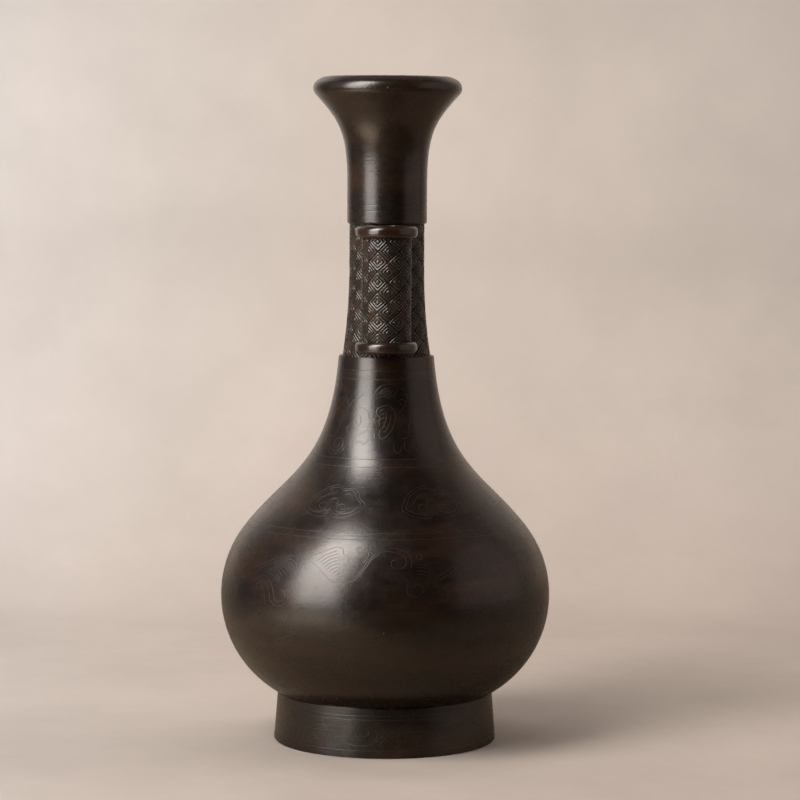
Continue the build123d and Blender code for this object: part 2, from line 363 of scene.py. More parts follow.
@dataclass
class EngravedBand:
    """A band of a turned surface with a drawing cut into it that repeats round the axis.

    Its plain mesh has so many columns round the axis. The drawing is scaled up for the
    triangulation, which merges points closer than a distance at that scale.
    """

    surface: TurnedSurface
    low: float
    high: float
    repeats: int
    strokes: list[Stroke] = field(default_factory=list)
    rings: Sequence[float] = ()
    columns: int = 140
    ring_width: float = 0.32
    depth: float = 0.022
    least_cut: float = 0.03
    neighbours: int = 4
    scale: float = 1000.0
    merge: float = 0.05

    def __post_init__(self) -> None:
        """Works out the sector that is built once, and the spacing of its plain mesh."""
        self.half = math.pi / self.repeats
        self.step = 2 * math.pi / self.columns
        self.clear = self.step / 3
        self.seam_clear = self.step / 4
        self.floor = self.surface.rise_at(self.low)
        self.roof = self.surface.rise_at(self.high)
        turns = (self.half * 2 * i for i in (-1, 0, 1))
        copies = [s.moved(turn) for turn in turns for s in self.strokes]
        self.shown = [s for s in copies if any(abs(p.x) <= self.half + self.step for p in s.middle)]
        self.spans: list[tuple[Vector, Vector, float, float, float]] = []
        for stroke in self.shown:
            last = 0 if stroke.closed else -1
            ends = [*stroke.middle[1:], stroke.middle[last]]
            full = max(stroke.halves)
            shares = [half / full for half in stroke.halves]
            next_shares = [*shares[1:], shares[last]]
            self.spans += zip(stroke.middle, ends, shares, next_shares, [full] * len(ends))
        self.tree = KDTree(len(self.spans))
        for i, (start, *_) in enumerate(self.spans):
            self.tree.insert((start.x, start.y, 0.0), i)
        self.tree.balance()

    def _ring_rises(self) -> list[tuple[float, float]]:
        """Rise and half width of each turned line."""
        rises = [self.surface.rise_at(height) for height in self.rings]
        return [(rise, self.ring_width / 2 / self.surface.radius_at(rise)) for rise in rises]

    def _depth_at(self, turn: float, rise: float) -> float:
        """Share of the full depth that the lines reach at a place.

        Args:
            turn: Angle about the axis.
            rise: Place along the profile.

        Returns:
            The share, 0 beside the lines.
        """
        share = 0.0
        for ring, half in self._ring_rises():
            share = max(share, 1 - abs(rise - ring) / half)
        if self.spans:
            place = Vector((turn, rise))
            nearest = self.tree.find_n((turn, rise, 0.0), self.neighbours)
            share = max(share, *(self._stroke_share(place, index) for _, index, _ in nearest))
        return share

    def _stroke_share(self, place: Vector, index: int) -> float:
        """Share of the full depth that one span of a line reaches at a place.

        Args:
            place: The place, as turn and rise.
            index: Which of the spans.

        Returns:
            The share, below 0 beside the line.
        """
        start, end, first, last, half = self.spans[index]
        along = end - start
        reach = along.length_squared
        t = min(max((place - start).dot(along) / reach, 0.0), 1.0) if reach else 0.0
        return first + (last - first) * t - (place - start - along * t).length / half

    def _flat_mesh(self) -> tuple[list[Vector], list[list[int]]]:
        """Triangles of one sector, opened out, with every line's edges and middle in them.

        Returns:
            Places (turn, rise), and the triangles' indices.
        """
        points: list[Vector] = []
        edges: list[tuple[int, int]] = []

        def chain(line: Sequence[Vector], closed: bool = False) -> None:
            """Adds a line of points, with the edges along it.

            Args:
                line: The points.
                closed: Whether an edge joins the last point to the first.
            """
            first = len(points)
            points.extend(line)
            edges.extend((first + i, first + i + 1) for i in range(len(line) - 1))
            if closed:
                edges.append((len(points) - 1, first))

        rows = max(1, round((self.roof - self.floor) / self.step))
        rises = [self.floor + (self.roof - self.floor) * i / rows for i in range(rows + 1)]
        count = self.columns // self.repeats
        turns = [-self.half + self.step * i for i in range(count + 1)]
        rings = [ring + half * side for ring, half in self._ring_rises() for side in (-1, 0, 1)]
        plain = [r for r in rises[1:-1] if all(abs(r - ring) > self.clear for ring in rings)]
        for rise in (self.floor, self.roof, *rings):
            chain([Vector((turn, rise)) for turn in turns])
        for turn in (-self.half, self.half):
            chain([Vector((turn, rise)) for rise in sorted([self.floor, self.roof, *rings, *plain])])
        for row, rise in enumerate(plain):
            stagger = self.step / 2 if row % 2 else 0.0
            for turn in turns[1:-1]:
                place = Vector((turn + stagger, rise))
                near = self.spans and self.tree.find((place.x, place.y, 0.0))[2] < self.clear
                if place.x < self.half - self.seam_clear and not near:
                    points.append(place)
        for stroke in self.shown:
            for line in (*stroke.sides(), stroke.middle):
                chain(line, stroke.closed)
        scaled = [p * self.scale for p in points]
        found = delaunay_2d_cdt(scaled, edges, [], 0, self.merge)
        return [p / self.scale for p in found[0]], found[2]

    def add_to(self, bm: BMesh) -> None:
        """Builds the sector in space and repeats it round the axis.

        Args:
            bm: Mesh that takes the band, in millimetres.
        """
        depth_layer = bm.verts.layers.float[DEPTH_LAYER]
        facing_layer = bm.faces.layers.int[FACING_LAYER]
        places, triangles = self._flat_mesh()
        made: dict[int, BMVert] = {}
        for i in sorted({i for t in triangles for i in t}):
            turn, rise = places[i]
            share = self._depth_at(turn, rise)
            made[i] = bm.verts.new(self.surface.place(turn, rise, share * self.depth))
            made[i][depth_layer] = share
        faces = []
        for triangle in triangles:
            middle = sum(places[i].x for i in triangle) / 3
            if abs(middle) < self.half:
                face = bm.faces.new([made[i] for i in triangle])
                cut = any(made[i][depth_layer] > self.least_cut for i in triangle)
                face[facing_layer] = Facing.CUT if cut else Facing.TURNED
                faces.append(face)
        loose = [v for v in made.values() if not v.link_faces]
        bmesh.ops.delete(bm, geom=loose, context="VERTS")
        geometry = {element for f in faces for element in (f, *f.edges, *f.verts)}
        bmesh.ops.spin(
            bm,
            geom=list(geometry),
            cent=(0, 0, 0),
            axis=(0, 0, 1),
            angle=2 * math.pi * (self.repeats - 1) / self.repeats,
            steps=self.repeats - 1,
            use_duplicate=True,
        )


@dataclass
class LozengeRelief:
    """Cast lozenges in a half-drop pattern, each a nest of worn steps round a small knob.

    A step rises steeply on its outer side and falls gently inward, so that it catches light from
    above in the lower half of a lozenge. The middle is where one lozenge has its centre: its turn
    in degrees and its height.
    """

    surface: TurnedSurface
    low: float
    high: float
    columns: int
    height: float
    middle_turn: float
    middle_height: float
    nested: int = 2
    ground: float = 0.26
    rise: float = 0.1
    crest: float = 0.24
    fall: float = 0.46
    knob: float = 0.16
    depth: float = 0.3
    wear: float = 0.5
    wear_size: float = 4.0
    sway: float = 0.3
    cuts: int = 3
    slant: float = 0.1
    spare_cells: int = 4

    def steps(self) -> list[tuple[float, float]]:
        """Width and rise of each step, from the edge of a lozenge to its knob."""
        line = [(self.ground, 0.0), (self.rise, self.depth), (self.crest, 0.0), (self.fall, -self.depth)]
        return [*line * self.nested, (self.ground, 0.0), (self.knob, self.depth)]

    def build(self) -> BMesh:
        """Shapes the pattern flat, trims it to the band and wraps it round.

        Returns:
            The open sheet in space, in millimetres, with its depth and facing layers.
        """
        floor = self.surface.rise_at(self.low)
        middle_rise = self.surface.rise_at(self.middle_height)
        radius = self.surface.radius_at(middle_rise)
        width = 2 * math.pi * radius / self.columns
        length = (self.surface.rise_at(self.high) - floor) * radius
        across = self.columns * width
        drop = (middle_rise - floor) * radius
        cells = self.columns + math.ceil(length / self.height) + self.spare_cells
        cells += cells % 2
        bm = bmesh.new()
        bmesh.ops.create_grid(bm, x_segments=cells, y_segments=cells, size=cells / 2)
        shape = Matrix.Diagonal((width / math.sqrt(2), self.height / math.sqrt(2), 1, 1))
        turn = Matrix.Rotation(math.radians(45), 4, "Z")
        middle = round(length / self.height / 2) * self.height + drop % self.height
        centre = Matrix.Translation((round(self.columns / 2) * width, middle, -self.depth))
        bmesh.ops.transform(bm, matrix=centre @ shape @ turn, verts=bm.verts)
        outside = []
        for face in bm.faces:
            x, y, _ = face.calc_center_median()
            if not (-width < x < across + width and -self.height < y < length + self.height):
                outside.append(face)
        bmesh.ops.delete(bm, geom=outside, context="FACES")
        lozenges = list(bm.faces)
        for inset, depth in self.steps():
            bmesh.ops.inset_individual(
                bm, faces=lozenges, thickness=inset, depth=depth, use_even_offset=True
            )
        runs = {e: e.verts[0].co - e.verts[1].co for e in bm.edges}
        slanted = [e for e, run in runs.items() if min(abs(run.x), abs(run.y)) > self.slant]
        bmesh.ops.subdivide_edges(bm, edges=slanted, cuts=self.cuts, use_grid_fill=True)
        for point, normal in (
            ((0, 0, 0), (-1, 0, 0)),
            ((across, 0, 0), (1, 0, 0)),
            ((0, 0, 0), (0, -1, 0)),
            ((0, length, 0), (0, 1, 0)),
        ):
            bmesh.ops.bisect_plane(
                bm,
                geom=[*bm.verts, *bm.edges, *bm.faces],
                dist=RELIEF_WELD,
                plane_co=point,
                plane_no=normal,
                clear_outer=True,
            )
        self._wrap(bm, floor, radius)
        return bm

    def _wrap(self, bm: BMesh, floor: float, radius: float) -> None:
        """Lays the flat pattern on the surface, wears it down in places and closes its seam.

        Args:
            bm: Mesh of the pattern.
            floor: Rise of its lower edge.
            radius: Radius that it was drawn for.
        """
        depth_layer = bm.verts.layers.float.new(DEPTH_LAYER)
        bm.faces.layers.int.new(FACING_LAYER)
        for v in bm.verts:
            turn = math.radians(self.middle_turn) + v.co.x / radius
            rise = floor + v.co.y / radius
            drift = noise.noise(self.surface.place(turn, rise) / self.wear_size)
            share = 1 - (1 + v.co.z / self.depth) * (1 - self.wear * max(0.0, drift))
            turn += self.sway * drift / radius
            v[depth_layer] = share
            v.co = self.surface.place(turn, rise, share * self.depth)
        bmesh.ops.remove_doubles(bm, verts=bm.verts, dist=RELIEF_WELD)


# Mesh helpers


def new_skin() -> BMesh:
    """Starts a mesh.

    Returns:
        An empty mesh with the layers for depth and facing.
    """
    bm = bmesh.new()
    bm.verts.layers.float.new(DEPTH_LAYER)
    bm.faces.layers.int.new(FACING_LAYER)
    return bm


def rim(bm: BMesh, top: bool) -> list[BMEdge]:
    """Open edges at one end of a mesh.

    Args:
        bm: The mesh.
        top: Whether the upper end is meant.

    Returns:
        The edges.
    """
    edges = [e for e in bm.edges if e.is_boundary]
    middle = (min(v.co.z for v in bm.verts) + max(v.co.z for v in bm.verts)) / 2
    return [e for e in edges if (e.verts[0].co.z > middle) == top]


def turn_on(bm: BMesh, edges: Iterable[BMEdge], profile: Iterable[Sequence[float]]) -> list[BMEdge]:
    """Carries an open rim on through further rings about the axis.

    Args:
        bm: Mesh that the rim belongs to.
        edges: Edges of the rim.
        profile: (radius, height) of each ring to come.

    Returns:
        Edges of the last ring.
    """
    rim_edges = list(edges)
    depth_layer = bm.verts.layers.float[DEPTH_LAYER]
    for radius, height in profile:
        made = bmesh.ops.extrude_edge_only(bm, edges=rim_edges)["geom"]
        for v in (g for g in made if isinstance(g, BMVert)):
            turn = math.atan2(v.co.x, -v.co.y)
            v.co = (radius * math.sin(turn), -radius * math.cos(turn), height)
            v[depth_layer] = 0.0
        rim_edges = [g for g in made if isinstance(g, BMEdge)]
    return rim_edges


def close_shell(
    bm: BMesh, above: Iterable[Sequence[float]], below: Iterable[Sequence[float]] = ()
) -> None:
    """Carries both rims of an open skin on through further rings, and joins the last ones.

    Args:
        bm: Mesh of the skin.
        above: (radius, height) of each ring that follows the upper rim.
        below: (radius, height) of each ring that follows the lower rim.
    """
    lower, upper = rim(bm, False), rim(bm, True)
    last = turn_on(bm, upper, above)
    bmesh.ops.bridge_loops(bm, edges=[*last, *turn_on(bm, lower, below)])


def engraved_skin(bands: Iterable[EngravedBand]) -> BMesh:
    """Joins bands that lie edge to edge.

    Args:
        bands: The bands.

    Returns:
        One open skin, in millimetres, with its layers.
    """
    bm = new_skin()
    for band in bands:
        band.add_to(bm)
    bmesh.ops.remove_doubles(bm, verts=bm.verts, dist=WELD)
    return bm


def spun(profile: Sequence[Vector], steps: int) -> BMesh:
    """Turns a closed profile once round the axis.

    Args:
        profile: (radius, height) points, the first one not repeated at the end.
        steps: Number of steps round the axis.

    Returns:
        The closed mesh, in millimetres, with its layers.
    """
    bm = new_skin()
    verts = [bm.verts.new((0, -p[0], p[1])) for p in profile]
    edges = [bm.edges.new((a, b)) for a, b in zip(verts, [*verts[1:], verts[0]])]
    bmesh.ops.spin(
        bm,
        geom=[*verts, *edges],
        cent=(0, 0, 0),
        axis=(0, 0, 1),
        angle=2 * math.pi,
        steps=steps,
        use_merge=True,
    )
    return bm


@dataclass
class Piece:
    """A finished mesh that stands for a node of the frame."""

    name: str
    node: str
    finish: "Patina"
    surface: TurnedSurface | None = None
    sharp: float = 32.0

    def make(self, bm: BMesh) -> Object:
        """Turns a shaped mesh into a dressed object that rides on the vase.

        Args:
            bm: The mesh, in millimetres. It is freed.

        Returns:
            The object.
        """
        bmesh.ops.remove_doubles(bm, verts=bm.verts, dist=WELD)
        bmesh.ops.recalc_face_normals(bm, faces=bm.faces)
        open_edges = sum(1 for e in bm.edges if not e.is_manifold)
        mesh = bpy.data.meshes.new(self.name)
        bm.to_mesh(mesh)
        bm.free()
        mesh.shade_smooth()
        mesh.set_sharp_from_angle(angle=math.radians(self.sharp))
        self._set_normals(mesh)
        mesh.transform(Matrix.Scale(MM, 4))
        obj = bpy.data.objects.new(self.name, mesh)
        bpy.context.scene.collection.objects.link(obj)
        mesh.materials.append(self.finish.material())
        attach(obj, "root")
        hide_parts(self.node)
        LOG.info("%s: %d faces, %d open edges", self.name, len(mesh.polygons), open_edges)
        return obj

    def _set_normals(self, mesh: bpy.types.Mesh) -> None:
        """Gives turned faces the normals of their surface, and cut faces their own.

        Args:
            mesh: The mesh, still in millimetres.
        """
        facing = [a.value for a in mesh.attributes[FACING_LAYER].data]
        normals = [Vector()] * len(mesh.loops)
        for polygon, kind in zip(mesh.polygons, facing):
            for i in polygon.loop_indices:
                if kind == Facing.CUT:
                    normals[i] = polygon.normal.copy()
                elif kind == Facing.TURNED and self.surface:
                    normals[i] = self.surface.normal(mesh.vertices[mesh.loops[i].vertex_index].co)
        mesh.normals_split_custom_set(normals)
        mesh.attributes.remove(mesh.attributes[FACING_LAYER])


# Finishes


class NodeDesk:
    """A tree of shader nodes, with short ways to add and join them."""

    def __init__(self, tree: NodeTree) -> None:
        """Takes the tree to work on."""
        self.tree = tree

    def add(self, kind: str, inputs: dict[str | int, object], **settings: object) -> Node:
        """Adds a node.

        Args:
            kind: Blender's name for the node.
            inputs: What its sockets take, as for feed.
            **settings: Attributes of the node.

        Returns:
            The node.
        """
        node = self.tree.nodes.new(kind)
        for name, value in settings.items():
            setattr(node, name, value)
        self.feed(node, inputs)
        return node

    def feed(self, node: Node, inputs: dict[str | int, object]) -> None:
        """Sets or links sockets of a node.

        Args:
            node: The node.
            inputs: A value or another node's output for each socket, by its name or index.
        """
        for key, value in inputs.items():
            if isinstance(value, NodeSocket):
                self.tree.links.new(value, node.inputs[key])
            else:
                node.inputs[key].default_value = value

    def spread(self, value: NodeSocket, start: float, end: float, low: object, high: object) -> NodeSocket:
        """Maps a value from one range to another, held at the ends."""
        inputs = {"Value": value, "From Min": start, "From Max": end, "To Min": low, "To Max": high}
        return self.add("ShaderNodeMapRange", inputs).outputs["Result"]

    def math(self, operation: str, *values: object) -> NodeSocket:
        """Arithmetic on up to three values."""
        return self.add("ShaderNodeMath", dict(enumerate(values)), operation=operation).outputs[0]

    def product(self, first: NodeSocket, *others: object) -> NodeSocket:
        """Several values multiplied together.

        Args:
            first: The first value.
            *others: Further outputs or numbers.

        Returns:
            Their product.
        """
        for other in others:
            first = self.math("MULTIPLY", first, other)
        return first

    def mix(self, share: NodeSocket, first: object, second: object) -> NodeSocket:
        """A colour between two.

        Args:
            share: Share of the second colour.
            first: Colour at a share of 0.
            second: Colour at a share of 1.

        Returns:
            The mixed colour.
        """
        colours = [(*c, 1.0) if isinstance(c, tuple) else c for c in (first, second)]
        inputs = {0: share, 6: colours[0], 7: colours[1]}
        return self.add("ShaderNodeMix", inputs, data_type="RGBA").outputs[2]


class FinishDesk(NodeDesk):
    """The nodes of a new material, on the coordinates of the object that wears it."""

    def __init__(self, name: str) -> None:
        """Starts a material with a plain shader.

        Args:
            name: Name of the material.
        """
        self.material = bpy.data.materials.new(name)
        self.material.use_nodes = True
        super().__init__(self.material.node_tree)
        self.shader = self.tree.nodes["Principled BSDF"]
        self.place = self.tree.nodes.new("ShaderNodeTexCoord").outputs["Object"]

    def noise(self, scale: float, kind: Flat, stretch: Place = (1, 1, 1)) -> NodeSocket:
        """A noise over the piece.

        Args:
            scale: Cycles per metre.
            kind: Its detail and roughness.
            stretch: Share of the cycles that each axis gets.

        Returns:
            The noise, from 0 to 1.
        """
        place = self.add("ShaderNodeMapping", {"Vector": self.place, "Scale": stretch}).outputs["Vector"]
        inputs = {"Vector": place, "Scale": scale, "Detail": kind[0], "Roughness": kind[1]}
        return self.add("ShaderNodeTexNoise", inputs).outputs["Fac"]

    def bump(self, height: NodeSocket, distance: float, below: NodeSocket | None = None) -> NodeSocket:
        """A bumped normal.

        Args:
            height: Height of the bumps, from 0 to 1.
            distance: Depth of the bumps, in metres.
            below: Normal that the bumps lie on, if not the plain one.

        Returns:
            The normal.
        """
        inputs: dict[str | int, object] = {"Height": height, "Distance": distance}
        if below is not None:
            inputs["Normal"] = below
        return self.add("ShaderNodeBump", inputs).outputs["Normal"]


@dataclass(frozen=True)
class Patina:
    """Waxed dark patina on bronze, with warm clouds, dust in the cuts and rubbed high spots.

    Faces that look down are also painted warmer, a painted reflection of the warm floor. Scales are in
    cycles per metre, and depths of the bump in metres.
    """

    slot: Slot
    deep: Colour
    warm: Colour
    dust: Colour
    rubbed: Colour
    rubbed_share: float
    smooth: float
    worn: float
    dusty: float
    dust_share: float = 0.6
    # Painted reflection: how much warmer faces that look down are painted, standing in for the warm floor
    # they mirror.
    painted_floor_reflection: float = 0.4
    gloss: float = 0.92
    tint: Colour = (1.0, 0.97, 0.95)
    metal: float = 0.25
    cut_metal: float = 0.25
    cut_edge: Flat = (0.08, 0.4)
    patch_scale: float = 38.0
    patch_noise: Flat = (6.0, 0.65)
    patch_stretch: Place = (0.5, 0.5, 2.0)
    patch_edge: Flat = (0.45, 0.72)
    # Painted reflection: facing, from steeply down to nearly level, over which that painted warmth fades
    # out.
    painted_floor_reflection_edge: Flat = (-0.65, -0.1)
    mottle_scale: float = 150.0
    mottle_noise: Flat = (5.0, 0.6)
    mottle_depth: float = 0.00006
    rubbed_edge: Flat = (0.4, 0.75)
    sheen_edge: Flat = (0.3, 0.7)
    fine_noise: Flat = (3.0, 0.5)
    grain_scale: float = 1400.0
    grain: float = 0.00004
    turning_scale: float = 1300.0
    turning_stretch: Place = (0.02, 0.02, 1.0)
    turning: float = 0.000035
    pit_scale: float = 150.0
    pit_edge: Flat = (0.03, 0.07)
    pit_rarity: float = 0.88
    pit_shade: float = 0.3
    pit_depth: float = 0.0002

    def material(self) -> Material:
        """The material, made once."""
        known = bpy.data.materials.get(self.slot.value + "_finish")
        return known or self._build()

    def _build(self) -> Material:
        """Joins the nodes of the finish.

        Returns:
            The material.
        """
        desk = FinishDesk(self.slot.value + "_finish")
        facing = desk.add("ShaderNodeNewGeometry", {}).outputs["Normal"]
        upward = desk.add("ShaderNodeSeparateXYZ", {0: facing}).outputs["Z"]
        clouds = desk.noise(self.patch_scale, self.patch_noise, self.patch_stretch)
        # Real warm clouds of patina, plus a painted reflection: faces that look down are painted warmer,
        # standing in for the warm floor mirrored in them.
        patches_and_painted_reflection = desk.math(
            "ADD",
            desk.spread(clouds, *self.patch_edge, 0.0, 1.0),
            desk.spread(upward, *self.painted_floor_reflection_edge, self.painted_floor_reflection, 0.0),
        )
        mottle = desk.noise(self.mottle_scale, self.mottle_noise)
        cut = desk.add("ShaderNodeAttribute", {}, attribute_name=DEPTH_LAYER).outputs["Fac"]
        filled = desk.spread(cut, *self.cut_edge, 0.0, 1.0)
        pits = self._pits(desk)
        colour = desk.mix(patches_and_painted_reflection, self.deep, self.warm)
        high_spots = desk.spread(mottle, *self.rubbed_edge, 0.0, self.rubbed_share)
        colour = desk.mix(high_spots, colour, self.rubbed)
        colour = desk.mix(desk.product(filled, self.dust_share), colour, self.dust)
        sheen = desk.spread(mottle, *self.sheen_edge, self.smooth, self.worn)
        turning = desk.noise(self.turning_scale, self.fine_noise, self.turning_stretch)
        marks = desk.bump(turning, self.turning)
        fine = desk.bump(desk.noise(self.grain_scale, self.fine_noise), self.grain, marks)
        broad = desk.bump(mottle, self.mottle_depth, fine)
        desk.feed(desk.shader, {
            "Base Color": desk.mix(pits, colour, tuple(c * self.pit_shade for c in self.deep)),
            "Metallic": desk.spread(filled, 0.0, 1.0, self.metal, self.cut_metal),
            "Specular IOR Level": self.gloss,
            "Specular Tint": (*self.tint, 1.0),
            "Roughness": desk.math("ADD", sheen, desk.product(filled, self.dusty)),
            "Normal": desk.bump(pits, -self.pit_depth, broad),
        })
        return desk.material

    def _pits(self, desk: FinishDesk) -> NodeSocket:
        """A few small casting pits.

        Args:
            desk: Nodes of the finish.

        Returns:
            1 in a pit and 0 beside it.
        """
        cells = desk.add("ShaderNodeTexVoronoi", {"Vector": desk.place, "Scale": self.pit_scale})
        pick = desk.add("ShaderNodeSeparateColor", {0: cells.outputs["Color"]}).outputs[0]
        rare = desk.math("GREATER_THAN", pick, self.pit_rarity)
        return desk.product(desk.spread(cells.outputs["Distance"], *self.pit_edge, 1.0, 0.0), rare)


DARK = Patina(
    slot=Slot.DARK,
    deep=(0.0084, 0.0051, 0.0036),
    warm=(0.0370, 0.0170, 0.0085),
    dust=(0.0194, 0.0150, 0.0114),
    rubbed=(0.0242, 0.0136, 0.0092),
    rubbed_share=0.3,
    smooth=0.22,
    worn=0.30,
    dusty=0.12,
)
RELIEF = Patina(
    slot=Slot.RELIEF,
    deep=(0.0110, 0.0101, 0.0066),
    warm=(0.0660, 0.0330, 0.0220),
    dust=(0.0242, 0.0180, 0.0132),
    rubbed=(0.0330, 0.0242, 0.0172),
    rubbed_share=0.5,
    smooth=0.20,
    worn=0.34,
    dusty=0.45,
    gloss=1.0,
    grain=0.00013,
    cut_metal=0.85,
    cut_edge=(0.45, 0.9),
    patch_scale=140.0,
    patch_stretch=(1.0, 1.0, 1.0),
    mottle_scale=500.0,
)
COLLAR = Patina(
    slot=Slot.COLLAR,
    deep=(0.0143, 0.0079, 0.0048),
    warm=(0.0418, 0.0202, 0.0114),
    dust=(0.0440, 0.0352, 0.0286),
    rubbed=(0.0506, 0.0264, 0.0154),
    rubbed_share=0.35,
    smooth=0.17,
    worn=0.25,
    dusty=0.3,
    gloss=1.0,
)
INNER = Patina(
    slot=Slot.INNER,
    deep=(0.0160, 0.0125, 0.0098),
    warm=(0.0320, 0.0222, 0.0160),
    dust=(0.0360, 0.0288, 0.0234),
    rubbed=(0.0360, 0.0270, 0.0198),
    rubbed_share=0.2,
    smooth=0.45,
    worn=0.62,
    dusty=0.2,
    gloss=0.6,
)


# Sub-assemblies


@dataclass
class FootRing:
    """Flared standing ring with a scroll round its outside and a ledge for the base plate."""

    radius: float = 47.0
    seam_radius: float = 45.4
    height: float = FOOT_TOP
    wall: float = 3.6
    edge: float = 1.2
    edge_turn: Flat = (-15, -90)
    edge_spans: int = 6
    top_edge: float = 0.4
    top_edge_turn: Flat = (20, 90)
    inner_edge: float = 0.6
    inner_edge_turn: Flat = (200, 270)
    fine_edge_spans: int = 3
    ledge_height: float = 8.5
    ledge_thickness: float = 2.6
    ledge_width: float = 4.5
    repeats: int = 8
    columns: int = 144
    rows: int = 40
    rings: tuple[float, ...] = (17.6, 15.9, 3.3)
    scroll_place: Flat = (0.0, 9.5)

    @property
    def flare(self) -> float:
        """How much the radius shrinks per millimetre of height."""
        return (self.radius - self.seam_radius) / self.height

    def surface(self) -> TurnedSurface:
        """The cone outside, between its rounded edges.

        Returns:
            The surface.
        """
        band = self.height - self.top_edge - self.edge
        heights = [self.edge + band * i / self.rows for i in range(self.rows + 1)]
        return TurnedSurface([Vector((self.radius - self.flare * h, h)) for h in heights])

    def scroll(self, surface: TurnedSurface) -> list[Stroke]:
        """Leaf scroll of one repeat.

        Args:
            surface: The cone outside.

        Returns:
            Its lines.
        """
        burin = Burin(surface, *self.scroll_place)
        burin.cut((-9.8, 0.0), (-7.7, -0.3), (-6.4, 1.0), (-7.1, 2.8), (-9.0, 3.4))
        burin.cut((-3.7, 2.8), (-3.0, 0.8), (-3.6, -2.0), (-5.7, -3.7), (-9.2, -4.2), (-14.7, -3.7),
                  (-18.5, -1.8))
        burin.cut((2.9, 3.8), (0.5, 1.5), (-1.6, -1.2), (-3.6, -3.2))
        burin.cut((4.4, 3.2), (1.8, 0.6), (-0.6, -2.2), (-2.8, -4.4))
        burin.cut((-17.0, 4.2), (-13.5, 2.0), (-11.6, -0.6), (-11.0, -2.4))
        burin.curl((7.0, -1.2), 2.6, 150, -1.4)
        burin.cut((4.6, 0.2), (6.0, 2.6), (9.2, 3.6), (12.0, 2.2))
        burin.barbs(((12.2, -3.6), (14.6, -3.8)), ((13.4, 0.6), (16.4, 0.0)), 3, 0.6)
        return burin.strokes

    def build(self) -> Object:
        """Models the ring and dresses it.

        Returns:
            The object.
        """
        surface = self.surface()
        band_top = self.height - self.top_edge
        scroll = self.scroll(surface)
        bm = engraved_skin(
            [EngravedBand(surface, self.edge, band_top, self.repeats, scroll, self.rings, self.columns)]
        )
        bore = self.seam_radius - self.wall
        base = self.ledge_height + self.ledge_thickness
        hollow = self.radius - self.wall
        top_centre = (self.seam_radius - self.top_edge, band_top)
        inner_centre = (hollow + self.inner_edge, self.inner_edge)
        foot_centre = (self.radius - self.edge, self.edge)
        above = [
            *arc(top_centre, self.top_edge, *self.top_edge_turn, self.fine_edge_spans),
            (bore, self.height),
            (bore, base),
            (bore - self.ledge_width, base),
            (bore - self.ledge_width, self.ledge_height),
            (hollow - self.flare * self.ledge_height, self.ledge_height),
            (hollow, self.inner_edge),
            *arc(inner_centre, self.inner_edge, *self.inner_edge_turn, self.fine_edge_spans),
        ]
        close_shell(bm, above, arc(foot_centre, self.edge, *self.edge_turn, self.edge_spans))
        return Piece("foot_ring_engraved", "foot_ring", DARK, surface).make(bm)


